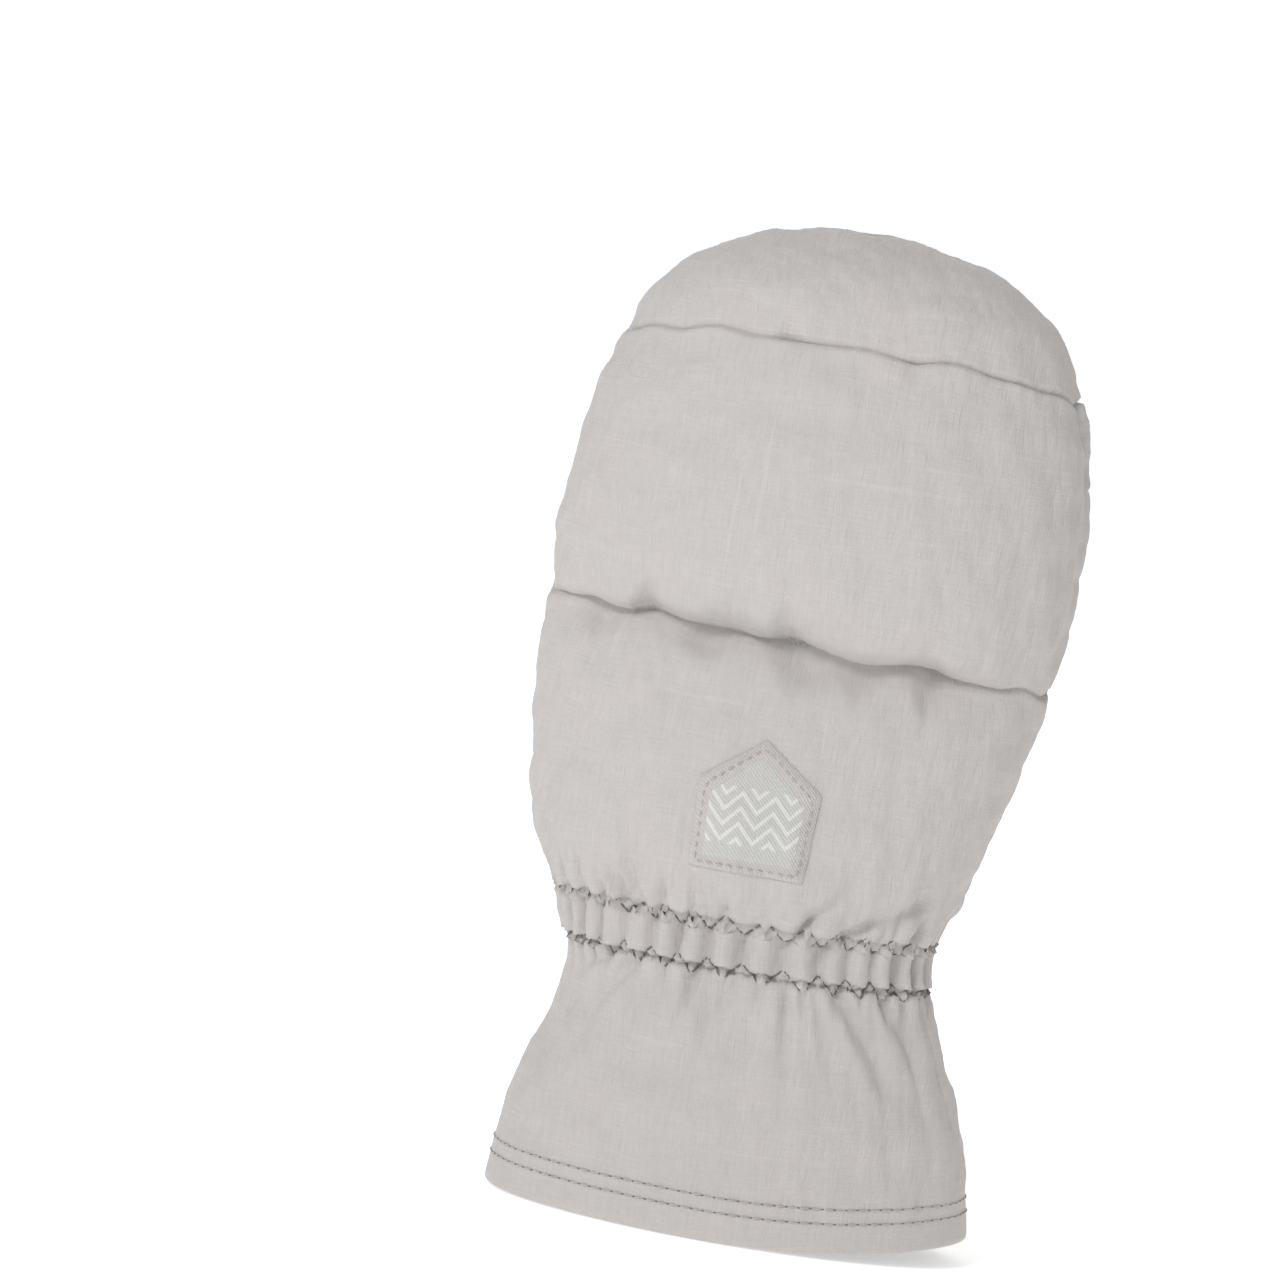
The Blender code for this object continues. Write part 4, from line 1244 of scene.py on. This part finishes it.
def thread_material(name, colour):
    """Twisted sewing thread: slanting plies along the stitch and a little fuzz."""
    s = Shader(name, 0.6, sheen=0.2, specular=0.3)
    place = s.place_map()
    ply = s.wave(place, 1.1, 1.5, "DIAGONAL")
    fuzz = s.noise(place, 5.0, 2.0)
    base = s.mix(ply, shade(colour, 0.72), shade(colour, 1.25))
    base = s.tint(base, fuzz, 0.3, shade(colour, 1.1))
    return s.finish(base, s.relief((ply, 0.0002, 0.8)), s.ramp(fuzz, 0.3, 0.7, 0.5, 0.75))


def patch_material(name, colour, motif):
    """Close twill. With the motif, rows of pale zigzags are printed on it."""
    s = Shader(name, 0.62, sheen=0.1, specular=0.3)
    place = s.place_map()
    twill = s.wave(place, 0.55, 0.6, "DIAGONAL")
    speck = s.noise(place, 3.0, 3.0, 0.7)
    base = s.mix(twill, shade(colour, 0.94), shade(colour, 1.05))
    base = s.tint(base, s.ramp(speck, 0.45, 0.7), 0.5, shade(colour, 1.12))
    if motif:
        split = s.node("ShaderNodeSeparateXYZ", {"Vector": place})
        x, z = split.outputs["X"], split.outputs["Z"]
        ridge = s.maths("PINGPONG", s.maths("ADD", x, MOTIF_SHIFT), MOTIF_PEAK / 2)
        level = s.maths("SUBTRACT", z, s.maths("MULTIPLY", ridge, MOTIF_SLOPE))
        wave = s.maths("PINGPONG", level, MOTIF_STEP / 2)
        line = s.ramp(wave, 0.5, 0.9, 1.0, 0.0)
        over_foot = s.ramp(z, MOTIF_LOW, MOTIF_LOW + 0.3)
        inside = s.maths("MULTIPLY", over_foot, s.ramp(z, MOTIF_HIGH, MOTIF_HIGH + 0.3, 1, 0))
        base = s.tint(base, s.maths("MULTIPLY", line, inside), 0.75, shade(colour, 1.38))
    normal = s.relief((twill, 0.00016, 1.0), (speck, 0.00010, 0.8))
    return s.finish(base, normal, s.ramp(speck, 0.3, 0.7, 0.5, 0.72))


def ribbon_material(name, colour):
    """Woven ribbon: ribs across it, a soft sheen all over, and no lettering."""
    s = Shader(name, 0.55, sheen=0.2, specular=0.4)
    rib = s.wave(s.place_map(), 0.75, 0.2, "Z", 2.0)
    fuzz = s.noise(s.place_map(), 2.5, 3.0)
    base = s.mix(rib, shade(colour, 0.7), shade(colour, 1.6))
    base = s.tint(base, fuzz, 0.4, shade(colour, 1.8))
    return s.finish(base, s.relief((rib, 0.0002, 1.0)), s.ramp(fuzz, 0.3, 0.7, 0.5, 0.7))


def fleece_material(name, colour):
    """Short brushed pile: clumps of soft fibre."""
    s = Shader(name, 0.95, sheen=0.5, specular=0.1)
    place = s.place_map()
    clump = s.noise(place, 0.5, 4.0, 0.65, 0.5)
    fibre = s.noise(place, 2.6, 4.0, 0.7, 1.5)
    base = s.mix(clump, shade(colour, 0.82), shade(colour, 1.12))
    base = s.tint(base, fibre, 0.4, shade(colour, 0.86))
    normal = s.relief((clump, 0.0016, 1.0), (fibre, 0.0006, 0.8))
    return s.finish(base, normal, s.ramp(clump, 0.3, 0.7, 0.88, 1.0))


# -------- the pieces

# Where a piece lies between two bodies: the lower one, the upper one, and the heights between them. Such a
# piece is fixed where it lies; nothing bends it.
AT_CUFF = ("cuff", "wrist", 60.0, LOWER_ELASTIC)
AT_WAIST = ("wrist", "hand", UPPER_ELASTIC, HAND_LOW)
AT_KNUCKLES = ("hand", "fingers", 145.0, 181.0)
AT_THUMB_ROOT = ("hand", "thumb_base", HAND_LOW, 124.0)
AT_THUMB_SEAM = ("thumb_base", "thumb", 131.0, 152.0)


def finish_piece(obj, material, nodes, moves):
    """Gives a piece its material and hides the CAD nodes it replaces. It rides a body, or, at a place named
    above, is fixed where it lies.
    """
    obj.data.materials.clear()
    obj.data.materials.append(material)
    if nodes:
        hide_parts(*nodes)
    if isinstance(moves, str):
        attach(obj, moves)
    else:
        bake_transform(obj)


def hand_pieces(skin, cloth, hide):
    """The cloth and leather of the hand and cuff, cut from the one puffed skin."""
    cloth, hide = (cloth, "shell_fabric"), (hide, "palm_leather")
    for name, kind, (material, slot), moves, fill, *nodes in (
        ("cuff_shell", CUFF, cloth, AT_CUFF, 0.3,
         "cuff_back_panel", "cuff_palm_panel", "hem_facing", "cuff_padding"),
        ("wrist_cloth_gathers", BAND, cloth, "wrist", None, "wrist_fabric", "upper_elastic", "lower_elastic"),
        ("wrist_leather_gathers", LEATHER_BAND, hide, "wrist", None, "wrist_leather"),
        ("hand_foot_cloth", FOOT, cloth, AT_WAIST, None),
        ("hand_foot_leather", LEATHER_FOOT, hide, AT_WAIST, None),
        ("back_hand_cloth", BACK, cloth, AT_KNUCKLES, 0.7, "back_hand_panel", "hand_back_wadding"),
        ("back_finger_cloth", FINGERS, cloth, AT_KNUCKLES, 0.8, "back_finger_panel", "finger_back_wadding"),
        ("fingertip_cloth", TIP, cloth, AT_KNUCKLES, 0.7, "fingertip_panel", "fingertip_wadding"),
        ("palm_leather", LEATHER, hide, AT_KNUCKLES, 0.4, "palm_leather_panel", "palm_pad", "finger_pad"),
    ):
        finish_piece(cut_out(skin, name, kind), material, nodes, moves)


def thumb_pieces(skin, cloth, hide):
    """The cloth and leather of the thumb: its foot and root, which follow the palm, and the free thumb."""
    for number, (zone, moves, fill, cloth_nodes, hide_nodes) in enumerate((
        ("foot", AT_WAIST, None, (), ()),
        ("root", AT_THUMB_ROOT, 0.7, ("thumb_base_panel", "thumb_base_wadding"), ("thumb_gusset_leather",)),
        ("lower", AT_THUMB_SEAM, 0.7, (), ()),
        ("upper", AT_THUMB_SEAM, 0.7, ("thumb_panel", "thumb_wadding"), ("thumb_leather",)),
    )):
        outside = cut_out(skin, f"thumb_{zone}_cloth", 2 * number)
        finish_piece(outside, cloth, cloth_nodes, moves)
        inside = cut_out(skin, f"thumb_{zone}_leather", 2 * number + 1)
        finish_piece(inside, hide, hide_nodes, moves)


LINING_LIFT = -7.4
LINING_LOW = 9.0
THUMB_LINING_LOW = 104.0


def lining_piece(name, shape, low, high, step, top_row, columns):
    """A soft lining surface between two rows, closed over the top at top_row."""
    turns = 360.0 * np.arange(columns) / columns
    points, faces = [], []
    for k, row in enumerate(rows_between((low, high), (step,))):
        start = (k - 1) * columns
        if row > top_row - SAME:
            points.append(shape(row, turns[:1], LINING_LIFT))
            faces += [(start + (i + 1) % columns, start + i, start + columns) for i in range(columns)]
            continue
        ring = shape(row, turns, LINING_LIFT)
        points.append(ring + SOFT(ring)[:, None] * 0.3)
        for i in range(columns if k else 0):
            j = (i + 1) % columns
            faces.append((start + columns + i, start + columns + j, start + j, start + i))
    lists = Lists()
    lists.add(np.concatenate(points), faces)
    return lists.object(name)


def lining_pieces(fleece):
    """The fleece lining of the cuff, wrist and hand, and the thumb's own."""
    body, thumb = (on_body, POLE_ROW, 64), (on_thumb, THUMB_POLE_ROW, 32)
    for name, (shape, top, columns), low, high, step, moves, *nodes in (
        ("cuff_fleece", body, LINING_LOW, LOWER_ELASTIC, 4.0, AT_CUFF, "cuff_lining"),
        ("wrist_fleece", body, LOWER_ELASTIC, UPPER_ELASTIC, 4.0, "wrist", "wrist_lining"),
        ("hand_foot_fleece", body, UPPER_ELASTIC, HAND_LOW, 4.0, AT_WAIST),
        ("hand_fleece", body, HAND_LOW, POLE_ROW, 5.0, AT_KNUCKLES, "hand_lining"),
        ("thumb_root_fleece", thumb, THUMB_LINING_LOW, THUMB_SPLIT, 4.0, AT_THUMB_ROOT, "thumb_base_lining"),
        ("thumb_fleece", thumb, THUMB_SPLIT, THUMB_POLE_ROW, 5.0, AT_THUMB_SEAM, "thumb_lining"),
    ):
        obj = lining_piece(name, shape, low, high, step, top, columns)
        finish_piece(obj, fleece, nodes, moves)


# The five-sided patch on the back of the hand.
PATCH_APEX = (-2.2, 137.6)
PATCH_SHOULDERS = (-21.4, 12.2, 125.2)
PATCH_FOOT = (-21.0, 10.6, 100.6)


def pentagon_grid(surface, inset, lift, columns=26, rows=24):
    """(point, normal) cells over the patch's outline drawn in by inset, lying smoothly on the surface."""
    left_top, right_top, shoulder = PATCH_SHOULDERS
    left_foot, right_foot, foot = PATCH_FOOT
    grid = []
    for i in range(rows + 1):
        line = []
        for j in range(columns + 1):
            u, v = j / columns, i / rows
            crown = 1 - abs(2 * u - 1)
            top = shoulder + (PATCH_APEX[1] - shoulder) * crown - inset * 1.2
            z = foot + inset + (top - foot - inset) * v
            share = min((z - foot) / (shoulder - foot), 1.0)
            left = left_foot + (left_top - left_foot) * share + inset
            right = right_foot + (right_top - right_foot) * share - inset
            line.append(surface.from_back(left + (right - left) * u, z))
        grid.append(line)
    depth = np.array([[cell[0] for cell in line] for line in grid])
    for _ in range(12):
        inner = (depth[:-2, 1:-1, 1] + depth[2:, 1:-1, 1] + depth[1:-1, :-2, 1] + depth[1:-1, 2:, 1]) / 4
        depth[1:-1, 1:-1, 1] = np.minimum(inner, depth[1:-1, 1:-1, 1])
    normal = np.mean([[cell[1] for cell in line] for line in grid], axis=(0, 1))
    normal /= np.linalg.norm(normal)
    return [[(point + normal * lift, normal) for point in line] for line in depth]


def grid_edge(grid):
    """The outline of a grid of cells as a closed run of points and normals."""
    cells = outline(grid) + [grid[0][0]]
    return [cell[0] for cell in cells], [cell[1] for cell in cells]


def patch_pieces(surface, border, print_material, thread):
    """The patch, its printed middle and the stitches round it."""
    base = ribbon("badge_patch", pentagon_grid(surface, 0.0, 0.2), 0.8)
    finish_piece(base, border, ["shield_patch"], "hand")
    middle = ribbon("badge_print", pentagon_grid(surface, 3.4, 1.0), 0.25)
    finish_piece(middle, print_material, [], "hand")
    run = grid_edge(pentagon_grid(surface, 1.6, 1.1))
    stitches = stitch_run("badge_stitches", [run], 2.0, 0.8, 0.22)
    finish_piece(stitches, thread, ["patch_stitch"], "hand")


STRIP_LOW, STRIP_TOP = 1.0, 70.5
STRIP_EDGES = ((STRIP_LOW, -6.0, 19.0), (STRIP_TOP, -9.0, 14.0))


def strip_edges(z):
    """Where the leather strip's two edges lie at a height."""
    (low, left_low, right_low), (high, left_high, right_high) = STRIP_EDGES
    share = (z - low) / (high - low)
    return left_low + (left_high - left_low) * share, right_low + (right_high - right_low) * share


def folded_grid(surface, rows=44):
    """The strip, thicker where its edges are folded under."""
    shares = np.array((0.0, 0.25, 0.7, 1.9, 2.5, 2.9))
    lifts = (0.1, 0.75, 1.05, 1.0, 0.7, 0.3)
    grid = []
    for z in np.linspace(STRIP_LOW, STRIP_TOP, rows + 1):
        left, right = strip_edges(z)
        middle = np.linspace(left + 3.6, right - 3.6, 9)
        line = [surface.from_palm(left + x, z, lift) for x, lift in zip(shares, lifts)]
        line += [surface.from_palm(x, z, 0.28 + 0.12 * math.sin(0.55 * x + 0.8 * z)) for x in middle]
        line += [surface.from_palm(right - x, z, lift) for x, lift in zip(shares[::-1], lifts[::-1])]
        grid.append(line)
    return grid


def strip_pieces(surface, hide, thread):
    """The leather strip down the palm side of the cuff, with its topstitching."""
    strip = ribbon("cuff_strip", folded_grid(surface), 1.0)
    finish_piece(strip, hide, ["cuff_leather_strip"], AT_CUFF)
    runs = []
    for side, inset in enumerate((1.7, -1.7)):
        cells = [surface.from_palm(strip_edges(z)[side] + inset, z, 2.05)
                 for z in np.linspace(STRIP_LOW + 0.6, STRIP_TOP - 1.6, 35)]
        runs.append(([cell[0] for cell in cells], [cell[1] for cell in cells]))
    stitches = stitch_run("strip_stitches", runs, 2.3, 0.7, 0.22)
    finish_piece(stitches, thread, ["strip_topstitch"], AT_CUFF)


def over_strip(place):
    """Extra lift where a line of stitches passes over the leather strip."""
    left, right = strip_edges(place[2])
    inside = place[1] > 0 and left - 0.6 < place[0] < right + 0.6 and place[2] < STRIP_TOP + 0.6
    return 1.7 if inside else 0.0


def ring_run(surface, z, first, last, step=1.5):
    """A level run of (points, normals) round the cuff, lifted over the strip."""
    count = round((last - first) / step)
    points, normals = [], []
    for turn in np.linspace(first, last, count + 1):
        point, normal = surface.at(z + float(hem_rise(z, turn)), turn)
        points.append(point + normal * (0.1 + over_strip(point)))
        normals.append(normal)
    return smoothed(points, 1), smoothed(normals, 2)


HEM_STITCHES = (8.6, 12.6)
PALM_SEAM_STITCHES = (68.4, 70.6)


def stitch_pieces(surface, dark, pale, hole_shade):
    """The hem's rows with painted shade in each of their needle holes, the seam between cuff and palm, and
    the zigzags over the elastics.
    """
    low, high = (ring_run(surface, z, 0.0, 360.0) for z in HEM_STITCHES)
    palm = [ring_run(surface, z, 4.0, 176.0) for z in PALM_SEAM_STITCHES]
    for obj, thread, moves, *nodes in (
        (stitch_run("hem_stitches_low", [low], 2.5, 0.8, 0.24), pale, "cuff", "hem_stitch_lower"),
        (stitch_run("hem_stitches_high", [high], 2.5, 0.8, 0.24), pale, "cuff", "hem_stitch_upper"),
        # Short dark lengths between the hem's stitches, a darkened copy of the cloth: painted shade in each
        # needle hole.
        (stitch_run("hem_needle_hole_shade", [low, high], 0.7, 2.6, 0.2, 0.5), hole_shade, "cuff"),
        (stitch_run("cuff_seam_stitches", palm, 2.3, 0.7, 0.24), dark, AT_CUFF, "cuff_seam_stitch"),
        (zigzag_stitch("upper_zigzag", surface, 0, 0.0, 360.0), dark, AT_WAIST, "upper_zigzag_stitch"),
        (zigzag_stitch("lower_zigzag", surface, 1, 183.0, 357.0), dark, AT_CUFF, "lower_zigzag_stitch"),
    ):
        finish_piece(obj, thread, nodes, moves)


LABEL_REACH = 15.5
LABEL_HEIGHTS = (33.0, 58.0)


def label_piece(surface, black):
    """A folded ribbon held in the strip's far edge, curling a little off the cuff."""
    grid = []
    for z in np.linspace(*LABEL_HEIGHTS, 13):
        edge = strip_edges(z)[1] - 1.0
        shares = np.linspace(0.0, 1.0, 13)
        grid.append([surface.from_palm(edge + LABEL_REACH * t, z, 0.35 + 1.9 * t**2) for t in shares])
    obj = ribbon("side_ribbon", grid, 0.9)
    obj.data.materials.append(black)
    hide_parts("side_label")
    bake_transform(obj)


# -------- the picture

CAMERA_DISTANCE = 2.2
CAMERA_AZIMUTH = 8.0
CAMERA_ELEVATION = 5.5
CAMERA_ROLL = 9.0
FRAME_WIDTH = 0.354
AIM_RIGHT = -0.0445
AIM_UP = 0.021
SENSOR = 0.036


def add_camera():
    """A long lens square to the back of the hand, rolled so that the mitten leans to the right."""
    middle = Vector(((size_before[0][0] + size_before[1][0]) / 2, 0.0, 0.141))
    azimuth, elevation = math.radians(CAMERA_AZIMUTH), math.radians(CAMERA_ELEVATION)
    away = Vector((
        math.sin(azimuth) * math.cos(elevation), -math.cos(azimuth) * math.cos(elevation), math.sin(elevation)
    ))
    rotation = away.to_track_quat("Z", "Y")
    rotation = rotation @ Quaternion((0.0, 0.0, 1.0), math.radians(CAMERA_ROLL))
    aim = middle + rotation @ Vector((AIM_RIGHT, AIM_UP, 0.0))
    data = bpy.data.cameras.new("camera")
    data.sensor_width = SENSOR * 1000
    data.lens = SENSOR * 1000 * CAMERA_DISTANCE / FRAME_WIDTH
    camera = link("camera", data)
    camera.rotation_mode = "QUATERNION"
    camera.rotation_quaternion = rotation
    camera.location = aim + away * CAMERA_DISTANCE
    bpy.context.scene.camera = camera


def add_light(name, place, size, power):
    """A square soft light aimed at the mitten."""
    data = bpy.data.lights.new(name, "AREA")
    data.size = size
    data.energy = power
    light = link(name, data)
    light.location = place
    light.rotation_mode = "QUATERNION"
    light.rotation_quaternion = (Vector(place) - Vector(LIGHT_AIM)).to_track_quat("Z", "Y")


# The lights: name, place in metres, size and power.
LIGHTS = (
    ("key", (-0.6, -1.25, 1.25), 0.6, 12.0),
    ("fill", (1.3, -1.4, 0.4), 1.4, 2.2),
    ("back", (-0.4, 1.6, 1.0), 1.2, 5.0),
)
LIGHT_AIM = (0.0, 0.0, 0.14)
SKY_STRENGTH = 0.42
FLOOR_GLOW = 0.42
WHITE = (1.0, 1.0, 1.0, 1.0)
# The floor's half width and its backdrop's distance, bend and height.
FLOOR_HALF, WALL, WALL_BEND, WALL_TOP = 4200.0, 2900.0, 600.0, 4200.0


def add_studio():
    """A pale floor that sweeps up behind into a backdrop, an even sky and three soft lights."""
    world = bpy.data.worlds.new("studio")
    world.use_nodes = True
    world.node_tree.nodes["Background"].inputs["Color"].default_value = WHITE
    world.node_tree.nodes["Background"].inputs["Strength"].default_value = SKY_STRENGTH
    bpy.context.scene.world = world
    bpy.context.scene.view_settings.view_transform = "Standard"
    for light in LIGHTS:
        add_light(*light)
    angles = np.linspace(0, math.pi / 2, 13)
    bend = [(WALL + WALL_BEND * math.sin(a), WALL_BEND - WALL_BEND * math.cos(a)) for a in angles]
    profile = [(-FLOOR_HALF, 0.0), *bend, (WALL + WALL_BEND, WALL_TOP)]
    lists = Lists()
    points = [(x, y, z) for y, z in profile for x in (-FLOOR_HALF, FLOOR_HALF)]
    lists.add(points, [(2 * i, 2 * i + 1, 2 * i + 3, 2 * i + 2) for i in range(len(profile) - 1)])
    floor = lists.object("floor")
    s = Shader("pale_floor", 0.9, specular=0.1)
    s.surface.inputs["Emission Color"].default_value = WHITE
    s.surface.inputs["Emission Strength"].default_value = FLOOR_GLOW
    pale = s.mix(s.noise(s.place_map(), 0.01), (0.96, 0.96, 0.96), (0.98, 0.98, 0.98))
    floor.data.materials.append(s.finish(pale))


def main():
    cloth = cloth_material("shell_cloth", FABRIC_COLOUR)
    hide = hide_material("palm_hide", HIDE_COLOUR)
    strip_hide = hide_material("strip_hide", STRIP_COLOUR, 0.8)
    fleece = fleece_material("lining_pile", FLEECE_COLOUR)
    dark_thread = thread_material("dark_thread", THREAD_COLOUR)
    pale_thread = thread_material("pale_thread", shade(FABRIC_COLOUR, 1.02))
    border = patch_material("patch_border", FABRIC_COLOUR, False)
    printed = patch_material("patch_print", PATCH_COLOUR, True)
    # A darkened copy of the cloth's colour, used as painted shade in each needle hole of the hem.
    hole_shade = thread_material("needle_hole_shade", shade(FABRIC_COLOUR, 0.4))
    black = ribbon_material("label_ribbon", RIBBON_COLOUR)

    skin = shape_skin()
    thumb_skin = shape_thumb()
    surface = Surface(skin)
    hand_pieces(skin, cloth, hide)
    thumb_pieces(thumb_skin, cloth, hide)
    lining_pieces(fleece)
    patch_pieces(surface, border, printed, pale_thread)
    strip_pieces(surface, strip_hide, dark_thread)
    stitch_pieces(surface, dark_thread, pale_thread, hole_shade)
    label_piece(surface, black)
    add_camera()
    add_studio()


main()
